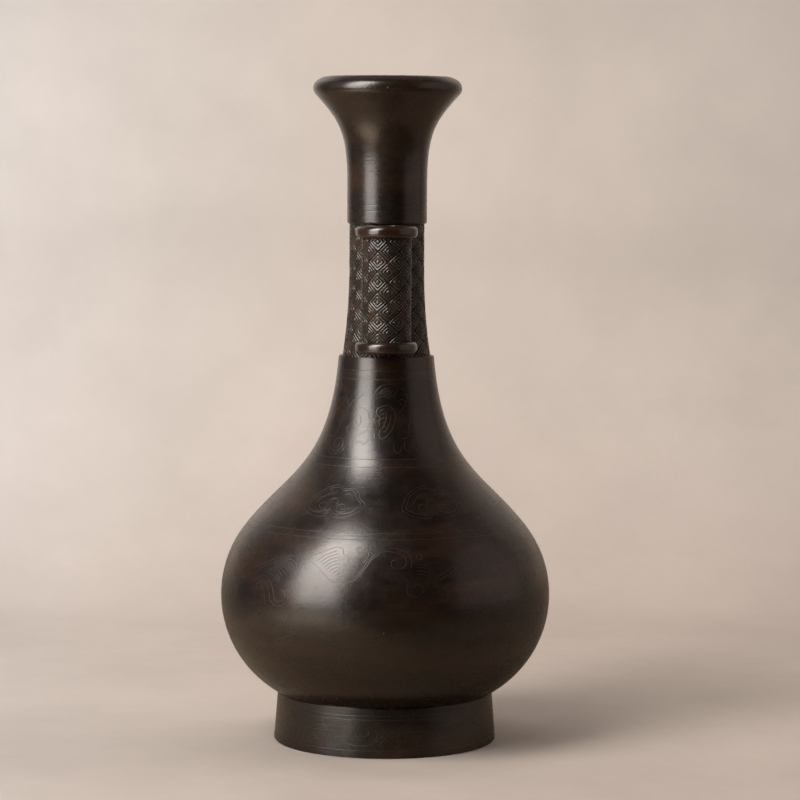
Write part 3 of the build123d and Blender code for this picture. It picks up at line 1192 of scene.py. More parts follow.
@dataclass
class Body:
    """Belly, shoulder and lower neck in one shell, engraved in bands."""

    seam_radius: float = 44.5
    seam_height: float = FOOT_TOP
    belly_radius: float = 69.5
    belly_round: float = 47.0
    belly_end: float = 38.0
    shoulder_pull: float = 29.0
    neck_pull: float = 47.0
    top_radius: float = 20.05
    top_height: float = BODY_TOP
    top_lean: float = 4.7
    top_edge: float = 0.5
    top_edge_turn: Flat = (20, 90)
    top_edge_spans: int = 3
    wall: float = 2.8
    socket_radius: float = 17.05
    socket_depth: float = 8.0
    spigot_radius: float = 41.7
    spigot_end: float = 13.7
    belly_spans: int = 160
    shoulder_spans: int = 320
    inner_stride: int = 16
    band_tops: tuple[float, ...] = (37.9, 93.3, 120.5)
    band_repeats: tuple[int, ...] = (5, 5, 7, 5)
    band_rings: tuple[tuple[float, ...], ...] = (
        (36.0,),
        (40.1, 92.2),
        (94.5, 119.0),
        (122.1, 154.3, 157.9),
    )
    plume_place: Flat = (-6.1, 78.6)
    cloud_place: Flat = (24.6, 105.5)
    leaf_place: Flat = (0.5, 137.5)

    def _curve(self, inset: float, top: Vector) -> list[Vector]:
        """The body's profile at a distance inside its outside, from the foot seam to the neck.

        Args:
            inset: Distance inside the belly's outside.
            top: Where the profile ends.

        Returns:
            Closely spaced points.
        """
        centre_radius = self.belly_radius - self.belly_round
        rise = math.sqrt(self.belly_round**2 - (self.seam_radius - centre_radius) ** 2)
        centre = (centre_radius, self.seam_height + rise)
        start = -math.degrees(math.acos((self.seam_radius - centre_radius) / self.belly_round))
        belly = arc(centre, self.belly_round - inset, start, self.belly_end, self.belly_spans)
        lean = math.radians(self.top_lean)
        tilt = math.radians(self.belly_end)
        off = belly[-1] + Vector((-math.sin(tilt), math.cos(tilt))) * self.shoulder_pull
        into = top - Vector((-math.sin(lean), math.cos(lean))) * self.neck_pull
        return [*belly[:-1], *interpolate_bezier(belly[-1], off, into, top, self.shoulder_spans)]

    def surface(self) -> TurnedSurface:
        """The outside, from the foot seam to the step at the top."""
        return TurnedSurface(self._curve(0.0, Vector((self.top_radius, self.top_height))))

    def leaf_scroll(self, surface: TurnedSurface) -> list[Stroke]:
        """Flower scroll of the lower neck, one repeat.

        Args:
            surface: The body's outside.

        Returns:
            Its lines.
        """
        burin = Burin(surface, *self.leaf_place)
        burin.cut((-6.6, 10.0), (-5.4, 12.8), (-2.1, 16.0), (2.5, 16.8), (5.3, 15.4), (4.4, 12.5),
                  (2.0, 10.2))
        burin.cut((2.0, 10.2), (-2.0, 10.8), (-4.8, 9.8))
        burin.cut((-4.0, 11.8), (-1.4, 14.2), (2.2, 14.9))
        burin.cut((1.1, 7.3), (3.9, 3.1), (3.0, -1.7), (1.0, -5.3), (-1.8, -7.4), (-2.9, -5.6),
                  (-2.4, -2.9))
        burin.cut((-2.4, -2.9), (-3.2, -0.5), (-2.8, 1.3), (-4.4, 3.1), (-3.6, 5.6), (1.1, 7.3))
        burin.cut((1.9, 3.0), (1.2, -1.0), (-1.0, -5.4))
        burin.cut((0.2, 3.8), (-0.4, -0.2), (-1.8, -3.9))
        burin.cut((-13.3, 4.9), (-10.5, 5.4), (-8.0, 3.6), (-7.3, 0.8), (-5.4, 0.0), (-4.8, 2.3))
        burin.cut((-15.9, -5.6), (-16.7, -3.4), (-15.0, -1.0), (-13.8, 1.5), (-13.3, 4.9))
        burin.cut((-12.4, 2.8), (-10.9, 0.5), (-11.5, -2.7), (-13.1, -4.4), (-15.9, -5.6))
        burin.cut((-13.4, 0.6), (-12.6, -1.4), (-13.6, -3.2))
        burin.cut((-14.3, -9.2), (-11.8, -6.7), (-9.1, -4.9), (-6.8, -3.9), (-5.1, -5.3), (-4.4, -7.6))
        burin.cut((-12.8, -10.4), (-10.4, -8.4), (-8.2, -9.6), (-6.4, -7.8), (-5.6, -9.8))
        burin.curl((-19.4, -9.9), 3.4, 190, 1.6)
        burin.cut((-24.2, -8.0), (-24.0, -11.4), (-20.4, -14.0), (-16.6, -12.8), (-15.4, -10.2))
        burin.cut((2.5, -8.7), (2.7, -11.5), (3.7, -12.8), (5.2, -11.5), (5.5, -9.2))
        burin.cut((-21.6, -4.0), (-20.4, 0.6), (-18.6, 4.4), (-19.6, 8.8), (-22.0, 10.0))
        burin.cut((-18.6, 4.4), (-16.4, 8.2), (-13.4, 9.6), (-10.2, 12.8))
        burin.barbs(((-3.4, 11.0), (1.4, 10.9)), ((-0.8, 14.0), (3.9, 14.2)), 5, 0.3)
        burin.barbs(((-3.2, 3.6), (-2.2, -5.0)), ((0.0, 5.6), (0.4, -4.4)), 6, 0.3)
        burin.curl((7.4, 7.6), 2.2, 210, -1.3)
        burin.cut((5.3, 15.4), (8.6, 13.6), (9.8, 10.0), (7.4, 5.4), (4.6, 3.6))
        burin.cut((6.4, 0.6), (8.8, -1.4), (9.4, -4.6), (7.4, -7.2), (4.6, -7.0))
        return burin.strokes

    def cloud(self, surface: TurnedSurface) -> list[Stroke]:
        """Cloud cartouche of the shoulder, one repeat.

        Args:
            surface: The body's outside.

        Returns:
            Its lines.
        """
        burin = Burin(surface, *self.cloud_place)
        outline = (
            (-13.0, -3.6), (-12.4, 0.2), (-9.8, 4.9), (-5.6, 8.4), (-1.0, 9.8), (1.6, 7.9), (3.6, 7.6),
            (6.8, 8.2), (9.6, 5.6), (11.0, 2.2), (13.3, -0.6), (12.0, -3.8), (7.6, -6.6), (2.6, -7.2),
            (-0.4, -5.4), (-3.2, -7.3), (-8.6, -6.6),
        )
        narrowed, flattened, lift = 0.87, 0.83, 0.2
        burin.loop(*outline)
        burin.loop(*((x * narrowed, lift + y * flattened) for x, y in outline))
        burin.curl((-4.9, -2.3), 2.7, 200, 1.5)
        burin.curl((3.9, -2.5), 2.5, -20, -1.5)
        burin.cut((-2.4, -1.0), (-1.4, 1.6), (0.6, 2.0), (1.5, 0.2), (0.6, -1.4))
        burin.cut((-8.8, -1.0), (-6.6, 2.4), (-3.0, 4.9), (-0.6, 3.9))
        burin.cut((2.6, 4.2), (5.8, 4.6), (8.0, 1.6))
        burin.cut((-10.4, -3.4), (-8.2, -4.9), (-5.2, -5.2), (-2.2, -4.4), (-0.4, -3.0))
        burin.cut((10.6, -2.2), (8.6, -4.6), (5.0, -5.3), (1.6, -4.2), (0.4, -3.0))
        return burin.strokes

    def plume_scroll(self, surface: TurnedSurface) -> list[Stroke]:
        """Plumes and scrolling stems of the belly, one repeat.

        Args:
            surface: The body's outside.

        Returns:
            Its lines.
        """
        burin = Burin(surface, *self.plume_place)
        burin.cut((-56.0, -1.6), (-51.2, 1.3), (-45.3, 4.0), (-37.8, 6.6), (-33.0, 6.6))
        burin.cut((-54.6, -2.6), (-50.2, 0.0), (-45.0, 2.4), (-38.0, 5.0), (-34.0, 5.2))
        burin.barbs(((-49.4, -1.4), (-38.6, 4.4)), ((-38.6, -5.0), (-30.6, 2.4)), 8, 1.6)
        burin.cut((-52.8, -6.4), (-51.2, -4.2), (-47.4, -3.0), (-43.7, -4.7), (-41.0, -8.3), (-40.0, -11.0),
                  (-37.6, -12.4), (-34.6, -10.5), (-35.6, -7.9), (-38.0, -8.0))
        burin.cut((-51.8, -8.8), (-49.8, -5.9), (-46.8, -5.0), (-44.4, -6.8), (-42.9, -9.8), (-41.6, -13.0),
                  (-37.4, -14.2), (-33.6, -12.6))
        burin.cut((-52.6, -11.4), (-49.8, -8.2), (-47.0, -8.0), (-45.6, -10.8), (-45.0, -14.6))
        burin.cut((-27.2, 6.1), (-23.8, 8.2), (-19.6, 10.3), (-14.6, 12.5), (-11.5, 11.7), (-10.8, 9.3),
                  (-8.0, 7.7), (-8.8, 4.8), (-7.6, 2.8), (-8.5, 0.3), (-7.6, -1.6))
        burin.cut((-27.2, 6.1), (-20.9, 2.5), (-17.7, -0.3), (-14.6, -2.5), (-11.4, -3.2), (-7.0, -2.5),
                  (-4.1, -1.0), (-1.0, 3.3), (2.2, 7.9), (5.6, 9.6))
        burin.barbs(((-22.8, 5.2), (-12.4, -1.9)), ((-13.2, 11.0), (-9.4, -0.9)), 9, 0.7)
        burin.cut((-5.2, -1.2), (-2.4, 2.6), (-0.6, 5.6), (2.6, 9.4), (7.3, 11.0), (12.0, 10.2),
                  (15.2, 8.6), (16.1, 6.4), (15.2, 4.0), (12.8, 3.0), (10.2, 3.8), (9.7, 5.8),
                  (11.2, 7.0), (12.8, 6.2))
        burin.cut((8.2, 12.6), (13.2, 12.0), (17.2, 9.8), (18.4, 6.0), (17.4, 2.6))
        burin.curl((-4.1, 11.0), 1.9, 200, -1.4)
        burin.cut((-0.5, 11.9), (0.0, 9.2), (-0.9, 7.0), (-2.4, 4.8))
        burin.curl((21.6, 8.2), 1.8, 120, -1.5)
        burin.barbs(((20.0, 4.6), (19.4, 0.6)), ((25.4, 4.2), (24.6, -0.4)), 4, 0.5)
        burin.cut((13.0, -0.6), (16.4, -2.0), (15.9, -5.2), (16.6, -7.6), (19.8, -8.1), (22.6, -6.2),
                  (22.0, -4.0), (19.8, -3.4), (18.4, -4.8))
        burin.cut((-37.1, -17.1), (-38.6, -20.0), (-37.8, -23.0))
        burin.cut((-34.5, -17.0), (-32.8, -19.8), (-33.8, -22.8))
        burin.cut((-42.1, -29.5), (-37.2, -27.0), (-29.7, -24.6))
        burin.cut((-42.1, -29.5), (-36.2, -29.6), (-29.7, -24.6))
        burin.barbs(((-38.6, -29.2), (-33.4, -27.8)), ((-36.6, -27.2), (-31.8, -25.8)), 4, 0.1)
        return burin.strokes

    def bands(self, surface: TurnedSurface) -> list[EngravedBand]:
        """The engraved bands: plain, plumes, clouds and leaves.

        Args:
            surface: The body's outside.

        Returns:
            The bands, from the foot to the neck.
        """
        levels = [self.seam_height, *self.band_tops, self.top_height - self.top_edge]
        drawings = [[], self.plume_scroll(surface), self.cloud(surface), self.leaf_scroll(surface)]
        return [
            EngravedBand(surface, *band)
            for band in zip(levels, levels[1:], self.band_repeats, drawings, self.band_rings)
        ]

    def build(self) -> Object:
        """Models the shell and dresses it.

        Returns:
            The object.
        """
        surface = self.surface()
        bm = engraved_skin(self.bands(surface))
        edge_height = self.top_height - self.top_edge
        edge_radius = surface.radius_at(surface.rise_at(edge_height)) - self.top_edge
        socket_end = self.top_height - self.socket_depth
        inside = self._curve(self.wall, Vector((self.socket_radius - self.wall / 2, socket_end)))
        inner_wall = [p for p in inside[::-self.inner_stride] if p.y > self.seam_height + self.wall]
        close_shell(bm, [
            *arc((edge_radius, edge_height), self.top_edge, *self.top_edge_turn, self.top_edge_spans),
            (self.socket_radius, self.top_height),
            (self.socket_radius, socket_end),
            *inner_wall,
            (self.spigot_radius - self.wall, self.seam_height),
            (self.spigot_radius - self.wall, self.spigot_end),
            (self.spigot_radius, self.spigot_end),
            (self.spigot_radius, self.seam_height),
        ])
        return Piece("body_engraved", "body", DARK, surface).make(bm)


@dataclass
class NeckSleeve:
    """Recessed, flaring middle of the neck, covered with cast lozenges."""

    radius: float = 15.75
    foot_radius: float = 18.5
    foot: float = BODY_TOP
    top: float = MOUTH_FOOT
    straight: float = 18.4
    lower_spigot: float = 16.95
    lower_bore: float = 14.95
    upper_spigot: float = 14.4
    bore: float = 12.4
    spigot_length: float = 8.0
    flare_spans: int = 80
    columns: int = 11
    lozenge_height: float = 8.3
    lozenge_middle: Flat = (60.0, 195.5)

    def surface(self) -> TurnedSurface:
        """The outside: straight above, flaring to its foot.

        Returns:
            The surface.
        """
        bend = (self.radius, self.top - self.straight)
        flare = tangent_arc(bend, (self.foot_radius, self.foot), (0, -1), self.flare_spans)
        return TurnedSurface([*flare[::-1], Vector((self.radius, self.top))])

    def build(self) -> Object:
        """Models the sleeve and dresses it.

        Returns:
            The object.
        """
        band = (self.surface(), self.foot, self.top)
        bm = LozengeRelief(*band, self.columns, self.lozenge_height, *self.lozenge_middle).build()
        close_shell(bm, [
            (self.upper_spigot, self.top),
            (self.upper_spigot, self.top + self.spigot_length),
            (self.bore, self.top + self.spigot_length),
            (self.bore, self.top - self.straight),
            (self.lower_bore, self.foot - self.spigot_length),
            (self.lower_spigot, self.foot - self.spigot_length),
            (self.lower_spigot, self.foot),
        ])
        return Piece("neck_sleeve_relief", "neck_sleeve", RELIEF, sharp=RELIEF_SHARP).make(bm)


@dataclass
class MouthSection:
    """Straight upper neck, trumpet and rolled lip."""

    radius: float = 16.75
    foot: float = MOUTH_FOOT
    flare_start: float = 15.5
    flare_pull: float = 22.8
    flare_angle: float = 42.2
    lip_pull: float = 15.4
    lip_height: float = 56.6
    lip_radius: float = 31.2
    bead: float = 3.85
    bead_turn: float = 93.5
    lip_rise: float = 5.0
    opening: float = 24.0
    inner_edge: float = 1.0
    bore: float = 13.9
    funnel_start: float = 21.8
    socket_radius: float = 14.5
    socket_depth: float = 8.1
    foot_edge: float = 1.0
    ring_heights: tuple[float, ...] = (224.0, 226.4)
    ring_width: float = 0.5
    ring_depth: float = 0.08
    ring_hold: float = 1.3
    edge_hold: float = 0.1
    edge_pull: float = 0.3
    edge_spans: int = 6
    lip_edge_points: int = 7
    trumpet_spans: int = 48
    bead_spans: int = 20
    lip_spans: int = 10
    funnel_spans: int = 30
    steps: int = 160

    def profile(self) -> list[Vector]:
        """Outline of the section.

        Returns:
            (radius, height) points, from its lower edge up the outside and down the inside.
        """
        edge_top = self.foot + self.foot_edge
        outside = arc((self.radius - self.foot_edge, edge_top), self.foot_edge, -90, 0, self.edge_spans)
        outside.append(Vector((self.radius, edge_top + self.edge_hold)))
        groove = [(side, 0.0) for side in (-self.ring_hold, -1, 1, self.ring_hold)]
        groove.insert(2, (0, self.ring_depth))
        for height in self.ring_heights:
            for side, depth in groove:
                outside.append(Vector((self.radius - depth, height + side * self.ring_width / 2)))
        start = Vector((self.radius, self.foot + self.flare_start))
        bead_centre = (self.lip_radius - self.bead, self.foot + self.lip_height)
        bead_end = self.bead_turn - self.flare_angle
        bead = arc(bead_centre, self.bead, -self.flare_angle, bead_end, self.bead_spans)
        lean = math.radians(self.flare_angle)
        into = bead[0] - Vector((math.sin(lean), math.cos(lean))) * self.lip_pull
        pull = Vector((0, self.flare_pull))
        trumpet = interpolate_bezier(start, start + pull, into, bead[0], self.trumpet_spans)
        lip_top = (self.opening, self.foot + self.lip_height + self.lip_rise)
        spoke = bead[-1] - Vector(bead_centre)
        lip = tangent_arc(tuple(bead[-1]), lip_top, (-spoke.y, spoke.x), self.lip_spans)
        funnel_foot = (self.bore, self.foot + self.funnel_start)
        funnel = tangent_arc(funnel_foot, lip_top, (0, 1), self.funnel_spans)
        corner = self._rounded(lip, funnel)
        socket_top = self.foot + self.socket_depth
        socket = [
            (self.bore, socket_top),
            (self.socket_radius, socket_top),
            (self.socket_radius, self.foot),
        ]
        return [*outside, *trumpet, *bead[1:], *corner, *(Vector(p) for p in socket)]

    def _rounded(self, lip: list[Vector], funnel: list[Vector]) -> list[Vector]:
        """Lip and funnel, with the edge between them rounded.

        Args:
            lip: Points of the lip, inward from the bead.
            funnel: Points of the funnel, from its foot to the lip's inner edge.

        Returns:
            Points from the lip to the foot of the funnel.
        """
        edge = lip[-1]
        before = [p for p in lip[1:] if (p - edge).length > self.inner_edge]
        after = [p for p in funnel[::-1] if (p - edge).length > self.inner_edge]
        pulls = [edge.lerp(end, self.edge_pull) for end in (before[-1], after[0])]
        bend = interpolate_bezier(before[-1], *pulls, after[0], self.lip_edge_points)
        return [*before, *bend[1:-1], *after]

    def build(self) -> Object:
        """Models the section and dresses it."""
        return Piece("mouth_section_turned", "mouth_section", DARK).make(spun(self.profile(), self.steps))


@dataclass
class HandleTube:
    """Tube handle with cast lozenges, seated on the neck, its ends turned down for the collars."""

    side: HandleSide
    neck: NeckSleeve
    distance: float = 25.2
    radius: float = 10.3
    bore: float = 6.0
    seat_radius: float = 9.6
    foot: float = TUBE_FOOT
    top: float = TUBE_TOP
    collar_height: float = COLLAR_HEIGHT
    seat_gap: float = 0.1
    rows: int = 12
    columns: int = 7
    lozenge_height: float = 8.3
    lozenge_middle: Flat = (-21.0, 199.6)

    def build(self) -> Object:
        """Models the tube and dresses it.

        Returns:
            The object.
        """
        node, turn = self.side.value
        low = self.foot + self.collar_height
        high = self.top - self.collar_height
        levels = [low + (high - low) * i / self.rows for i in range(self.rows + 1)]
        band = (TurnedSurface([Vector((self.radius, h)) for h in levels]), low, high)
        bm = LozengeRelief(*band, self.columns, self.lozenge_height, *self.lozenge_middle).build()
        ends = [
            [(self.seat_radius, step), (self.seat_radius, end), (self.bore, end)]
            for step, end in ((high, self.top), (low, self.foot))
        ]
        close_shell(bm, *ends)
        self._seat(bm)
        bmesh.ops.rotate(bm, cent=(0, 0, 0), matrix=Matrix.Rotation(turn, 3, "Z"), verts=bm.verts)
        return Piece(f"{node}_relief", node, RELIEF, sharp=RELIEF_SHARP).make(bm)

    def _seat(self, bm: BMesh) -> None:
        """Moves the tube to its place and hollows its back to the neck.

        Args:
            bm: Mesh of the tube, about its own axis.
        """
        surface = self.neck.surface()
        for v in bm.verts:
            v.co.y -= self.distance
            seat = surface.radius_at(surface.rise_at(v.co.z)) + self.seat_gap
            if v.co.xy.length < seat:
                v.co.y = -math.sqrt(seat**2 - v.co.x**2)


def dress_nodes() -> None:
    """Gives the nodes that keep their own shape their finishes."""
    for name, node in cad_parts.items():
        finish = COLLAR if name.endswith("collar") else INNER
        if name.endswith("collar") or name in ("base_plate", "handle_rivets"):
            for slot in node.material_slots:
                slot.material = finish.material()
            LOG.info("%s: dressed", name)


# Studio


WARM_WHITE: Colour = (1.0, 0.97, 0.94)


@dataclass(frozen=True)
class Panel:
    """A flat soft light in strips, one above the other, in metres.

    Its foot and top are each a distance from the vase's axis and a height. It is brightest at one
    share of the way up, and only a mirrored one is seen in the bronze.
    """

    name: str
    turn: float
    foot: Flat
    top: Flat
    foot_width: float
    top_width: float
    radiance: float
    colour: Colour = WARM_WHITE
    strips: int = 1
    brightest: float = 0.5
    fall: float = 0.0
    mirrored: bool = False

    def build(self) -> None:
        """Hangs the strips."""
        a = math.radians(self.turn)
        out = Vector((math.sin(a), -math.cos(a), 0))
        foot, top = (out * reach + Vector((0, 0, height)) for reach, height in (self.foot, self.top))
        across = Vector((math.cos(a), math.sin(a), 0))
        upward = (top - foot).normalized()
        facing = Matrix((across, upward, across.cross(upward))).transposed()
        height = (top - foot).length / self.strips
        for i in range(self.strips):
            share = (i + 0.5) / self.strips
            data = bpy.data.lights.new(f"{self.name}_{i}", "AREA")
            data.shape = "RECTANGLE"
            width = self.foot_width + (self.top_width - self.foot_width) * share
            data.size, data.size_y = width, height
            data.color = self.colour
            glow = self.radiance * (1 - self.fall * (share - self.brightest) ** 2)
            data.energy = math.pi * width * height * glow
            lamp = bpy.data.objects.new(data.name, data)
            lamp.location = foot.lerp(top, share)
            lamp.rotation_euler = facing.to_euler()
            lamp.visible_glossy = self.mirrored
            bpy.context.scene.collection.objects.link(lamp)


KEY = Panel(
    "key",
    turn=-48.8,
    foot=(1.0, 0.08),
    top=(1.0, 2.5),
    foot_width=0.54,
    top_width=0.86,
    radiance=11.8,
    strips=13,
    brightest=0.62,
    fall=1.7,
    mirrored=True,
)
OVERHEAD = Panel(
    "overhead",
    turn=-165.0,
    foot=(0.5, 1.3),
    top=(0.15, 1.4),
    foot_width=1.2,
    top_width=1.2,
    radiance=4.45,
)
FILL = Panel(
    "fill",
    turn=100.0,
    foot=(1.0, 0.1),
    top=(1.0, 0.9),
    foot_width=1.0,
    top_width=1.0,
    radiance=3.6,
)


@dataclass
class Studio:
    """Plain backdrop sheet, soft light and the camera, in metres.

    A fade runs from a start to an end on some measure, and from a low to a high level between them.
    """

    half_width: float = 1.3
    front: float = -2.6
    cove_start: float = 0.30
    cove_radius: float = 0.20
    cove_steps: int = 24
    wall_top: float = 2.4
    far_size: float = 9.0
    far_drop: float = 0.001

    # Painted light: the wall's paper is painted brighter than the floor's, standing in for how the lamps
    # fall on the sweep.
    floor_paper: Colour = (0.406, 0.343, 0.300)
    # Painted reflection: the floor as the bronze and the bounced light see it, painted warmer than the
    # camera sees it.
    floor_bounce: Colour = (0.406, 0.326, 0.240)
    wall_paper: Colour = (0.545, 0.482, 0.434)
    wall_fade: Fade = (0.0, 0.22, 0.0, 1.0)
    # Painted light: the paper is tinted paler and less warm towards the left, where the key falls.
    left_tint: Colour = (1.0, 1.06, 1.13)
    tint_fade: Fade = (-0.24, -0.02, 0.0, 1.0)
    cloud_scale: float = 9.0
    cloud_noise: Flat = (6.0, 0.65)
    cloud_fade: Fade = (0.3, 0.7, 0.93, 1.07)
    # Painted light: the paper brighter towards the left and dimmer towards the right.
    across_fade: Fade = (-0.25, 0.25, 1.11, 0.85)
    high_fade: Fade = (0.2, 0.55, 0.0, 1.0)
    high_dimming: float = 0.85
    roughness: float = 0.9
    gloss: float = 0.15

    # Painted light and shade that only the bronze and the bounced light see: a dark band of floor in front,
    # a patch of light near the key, the floor dimmer to the right and towards the back, and the sheet
    # dimmer high up and far to the sides.
    side_lift: float = 0.9
    near_slant: float = 1.2
    # Painted shade: a dark band of floor in front of the vase, lighter again further out.
    near_fade: Fade = (-0.24, -0.13, 0.12, 1.0)
    front_fade: Fade = (-0.55, -0.3, 0.5, 0.0)
    # Painted patch of light on the floor near the key, seen only by the bronze and the bounced light.
    painted_light_pool: Place = (-0.36, -0.28, 0.0)
    painted_light_pool_fade: Fade = (0.1, 0.25, 3.6, 1.0)
    # Painted shade: the sheet dimmer far to the left and far to the sides.
    left_fade: Fade = (-1.0, -0.4, 0.4, 1.0)
    wide_fade: Fade = (0.3, 0.6, 1.0, 0.46)
    # Painted shade on the floor: dimmer to the right and towards the back, seen only by the bronze and the
    # bounced light.
    left_floor_fade: Fade = (-0.12, 0.12, 0.9, 0.4)
    floor_edge: Flat = (-0.12, 0.03)
    right_floor: float = 0.4
    floor_rise: Flat = (0.02, 0.16)

    room: Colour = (0.92, 0.76, 0.71)
    room_slant: float = 0.44
    room_opening: Fade = (0.46, 0.56, 0.01, 1.0)
    room_droop: float = 0.5
    room_level: Fade = (0.25, 0.6, 0.41, 0.073)
    room_left: Fade = (-0.9, -0.3, 0.55, 1.0)
    far_wall: Colour = (0.52, 0.45, 0.40)

    lens: float = 138.4
    sensor: float = 36.0
    camera_place: Place = (0.00527, -1.293, 0.253)
    camera_tilt: float = 4.812
    camera_roll: float = -0.3

    def build(self) -> None:
        """Sets up everything that isn't part of the vase."""
        self._sheet()
        for panel in (KEY, OVERHEAD, FILL):
            panel.build()
        self._room()
        bpy.context.scene.view_settings.view_transform = "Standard"
        self._camera()

    def _room(self) -> None:
        """A room that is dark behind the camera and overhead, and dimly lit at the sides."""
        world = bpy.data.worlds.new("dim_room")
        world.use_nodes = True
        desk = NodeDesk(world.node_tree)
        way = desk.add("ShaderNodeTexCoord", {}).outputs["Generated"]
        across, along, upward = desk.add("ShaderNodeSeparateXYZ", {0: way}).outputs
        aside = desk.math("ABSOLUTE", across)
        light = desk.product(
            desk.spread(desk.math("MULTIPLY_ADD", along, self.room_slant, aside), *self.room_opening),
            desk.spread(desk.math("MULTIPLY_ADD", aside, -self.room_droop, upward), *self.room_level),
            desk.spread(across, *self.room_left),
        )
        seen = desk.add("ShaderNodeLightPath", {}).outputs["Is Camera Ray"]
        desk.feed(desk.tree.nodes["Background"], {
            "Color": desk.mix(seen, self.room, self.far_wall),
            "Strength": desk.math("MAXIMUM", light, seen),
        })
        bpy.context.scene.world = world

    def _sheet(self) -> None:
        """Floor and wall in one sheet, with a cove between them and more floor round it."""
        bm = bmesh.new()
        sides = (-self.half_width, self.half_width)
        edge = bm.edges.new([bm.verts.new((x, self.front, 0)) for x in sides])
        back = self._drawn_on(bm, [edge], (0, self.cove_start - self.front, 0))
        cove = bmesh.ops.spin(
            bm,
            geom=[*back[0].verts, *back],
            cent=(0, self.cove_start, self.cove_radius),
            axis=(1, 0, 0),
            angle=math.pi / 2,
            steps=self.cove_steps,
        )["geom_last"]
        self._drawn_on(bm, [g for g in cove if isinstance(g, BMEdge)], (0, 0, self.wall_top))
        bmesh.ops.recalc_face_normals(bm, faces=bm.faces)
        bmesh.ops.reverse_faces(bm, faces=[f for f in bm.faces if f.normal.z - f.normal.y < 0])
        sheet = self._laid("backdrop", bm, self._paper())
        mesh = sheet.data
        self._far_floor(mesh.materials[0])

    def _drawn_on(self, bm: BMesh, edges: list[BMEdge], way: Place) -> list[BMEdge]:
        """Extrudes edges of the sheet along a way.

        Args:
            bm: Mesh of the sheet.
            edges: Edges to start from.
            way: How far to go along each axis.

        Returns:
            The new edges.
        """
        made = bmesh.ops.extrude_edge_only(bm, edges=edges)["geom"]
        bmesh.ops.translate(bm, verts=[g for g in made if isinstance(g, BMVert)], vec=way)
        return [g for g in made if isinstance(g, BMEdge)]

    def _laid(self, name: str, bm: BMesh, paper: Material) -> Object:
        """Makes a papered object from a shaped mesh, which is freed.

        Args:
            name: Name of the object.
            bm: Its mesh, in metres.
            paper: Its material.

        Returns:
            The object.
        """
        mesh = bpy.data.meshes.new(name)
        bm.to_mesh(mesh)
        bm.free()
        mesh.shade_smooth()
        mesh.materials.append(paper)
        obj = bpy.data.objects.new(name, mesh)
        bpy.context.scene.collection.objects.link(obj)
        return obj

    def _far_floor(self, paper: Material) -> Object:
        """More floor round the sheet, which only the camera sees.

        Args:
            paper: Material of the sheet.

        Returns:
            The floor.
        """
        bm = bmesh.new()
        bmesh.ops.create_grid(bm, size=self.far_size, matrix=Matrix.Translation((0, 0, -self.far_drop)))
        floor = self._laid("far_floor", bm, paper)
        floor.visible_glossy = False
        floor.visible_diffuse = False
        floor.visible_shadow = False
        return floor

    def _paper(self) -> Material:
        """Warm paper with a faint mottle and painted light: painted paler and brighter to the left, painted
        brighter up the wall than on the floor, dim high up.

        The camera sees it so. The bronze and the bounced light see the floor painted warmer, and also the
        painted shade and the painted patch of light of _surroundings.

        Returns:
            The material.
        """
        desk = FinishDesk("backdrop_paper")
        place = desk.add("ShaderNodeSeparateXYZ", {0: desk.place})
        across, _, upward = place.outputs
        seen = desk.add("ShaderNodeLightPath", {}).outputs["Is Camera Ray"]
        # Painted reflection: the bronze and the bounced light see the floor painted warmer.
        floor = desk.mix(seen, self.floor_bounce, self.floor_paper)
        # Painted light: the wall's paper is brighter than the floor's.
        colour = desk.mix(desk.spread(upward, *self.wall_fade), floor, self.wall_paper)
        # Painted light: paler and less warm towards the left, where the key falls.
        tint = desk.mix(desk.spread(across, *self.tint_fade), self.left_tint, (1.0, 1.0, 1.0))
        colour = desk.add("ShaderNodeVectorMath", {0: colour, 1: tint}, operation="MULTIPLY").outputs[0]
        cloudy = desk.spread(desk.noise(self.cloud_scale, self.cloud_noise), *self.cloud_fade)
        # Real mottle, times painted light: the paper brighter towards the left and dimmer towards the
        # right.
        shade = desk.product(cloudy, desk.spread(across, *self.across_fade))
        plain = desk.product(shade, self._dim_high_up(desk, upward))
        # Painted shade and a painted patch of light, for what the bronze and the bounced light see.
        dimmed = desk.product(shade, self._surroundings(desk, place))
        tone = desk.math("MULTIPLY_ADD", seen, desk.math("SUBTRACT", plain, dimmed), dimmed)
        toned = desk.add("ShaderNodeVectorMath", {0: colour, "Scale": tone}, operation="SCALE")
        desk.feed(desk.shader, {
            "Base Color": toned.outputs[0],
            "Roughness": self.roughness,
            "Specular IOR Level": self.gloss,
        })
        self._open_back(desk, seen)
        return desk.material

    def _dim_high_up(self, desk: FinishDesk, height: NodeSocket) -> NodeSocket:
        """A share that falls from 1 with the square of a height."""
        high = desk.spread(height, *self.high_fade)
        return desk.math("MULTIPLY_ADD", desk.product(high, high), -self.high_dimming, 1.0)

    def _surroundings(self, desk: FinishDesk, place: Node) -> NodeSocket:
        """Painted light and shade on the sheet as the bronze and the bounced light see it: a painted dark
        band of floor in front, dim high up and far to the sides, the floor painted dimmer to the right and
        towards the back, and a painted patch of light on the floor near the key.

        Args:
            desk: Nodes of the paper.
            place: Node that splits the place on the sheet.

        Returns:
            The share of its own brightness.
        """
        across, along, upward = place.outputs
        aside = desk.math("ABSOLUTE", across)
        high = self._dim_high_up(desk, desk.math("MULTIPLY_ADD", aside, -self.side_lift, upward))
        near = desk.math("MULTIPLY_ADD", desk.math("MINIMUM", across, 0.0), -self.near_slant, along)
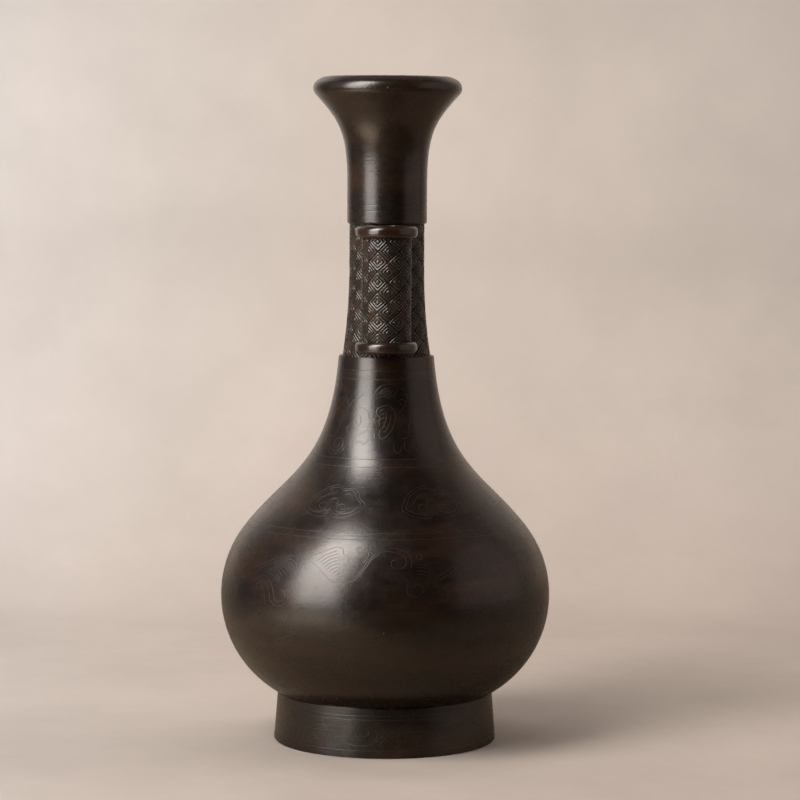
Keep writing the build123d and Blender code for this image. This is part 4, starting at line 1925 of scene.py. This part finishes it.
        # Painted shade: a dark band of floor in front, lighter again further out.
        strip = desk.math("ADD", desk.spread(near, *self.near_fade), desk.spread(near, *self.front_fade))
        # Painted patch of light on the floor near the key.
        painted_light_pool = desk.add("ShaderNodeVectorMath", {0: desk.place, 1: self.painted_light_pool}, operation="DISTANCE")
        # Painted shade on the floor: dimmer to the right and towards the back.
        left_floor = desk.spread(along, *self.left_floor_fade)
        floor = desk.spread(across, *self.floor_edge, left_floor, self.right_floor)
        low = desk.spread(upward, *self.floor_rise, floor, 1.0)
        return desk.product(
            high,
            strip,
            desk.spread(painted_light_pool.outputs["Value"], *self.painted_light_pool_fade),
            desk.spread(across, *self.left_fade),
            desk.math("MINIMUM", desk.spread(aside, *self.wide_fade), low),
        )

    def _open_back(self, desk: FinishDesk, seen: NodeSocket) -> None:
        """Lets a camera behind the sheet look through it.

        Args:
            desk: Nodes of the paper.
            seen: 1 for what the camera sees.
        """
        behind = desk.add("ShaderNodeNewGeometry", {}).outputs["Backfacing"]
        clear = desk.add("ShaderNodeBsdfTransparent", {}).outputs[0]
        shaders = {0: desk.product(behind, seen), 1: desk.shader.outputs[0], 2: clear}
        joined = desk.add("ShaderNodeMixShader", shaders).outputs[0]
        desk.feed(desk.tree.nodes["Material Output"], {"Surface": joined})

    def _camera(self) -> None:
        """The camera at the reference view."""
        data = bpy.data.cameras.new("camera")
        data.lens = self.lens
        data.sensor_width = self.sensor
        camera = bpy.data.objects.new("camera", data)
        camera.location = self.camera_place
        camera.rotation_euler = (math.radians(90 - self.camera_tilt), math.radians(self.camera_roll), 0)
        bpy.context.scene.collection.objects.link(camera)
        bpy.context.scene.camera = camera


def main() -> None:
    """Builds the vase from the floor up, then the studio."""
    logging.basicConfig(level=logging.INFO, format="%(name)s: %(message)s")
    sleeve = NeckSleeve()
    parts = [FootRing(), Body(), sleeve, MouthSection()]
    parts += [HandleTube(side, sleeve) for side in HandleSide]
    for part in parts:
        part.build()
    dress_nodes()
    Studio().build()


if __name__ == "__main__":
    main()
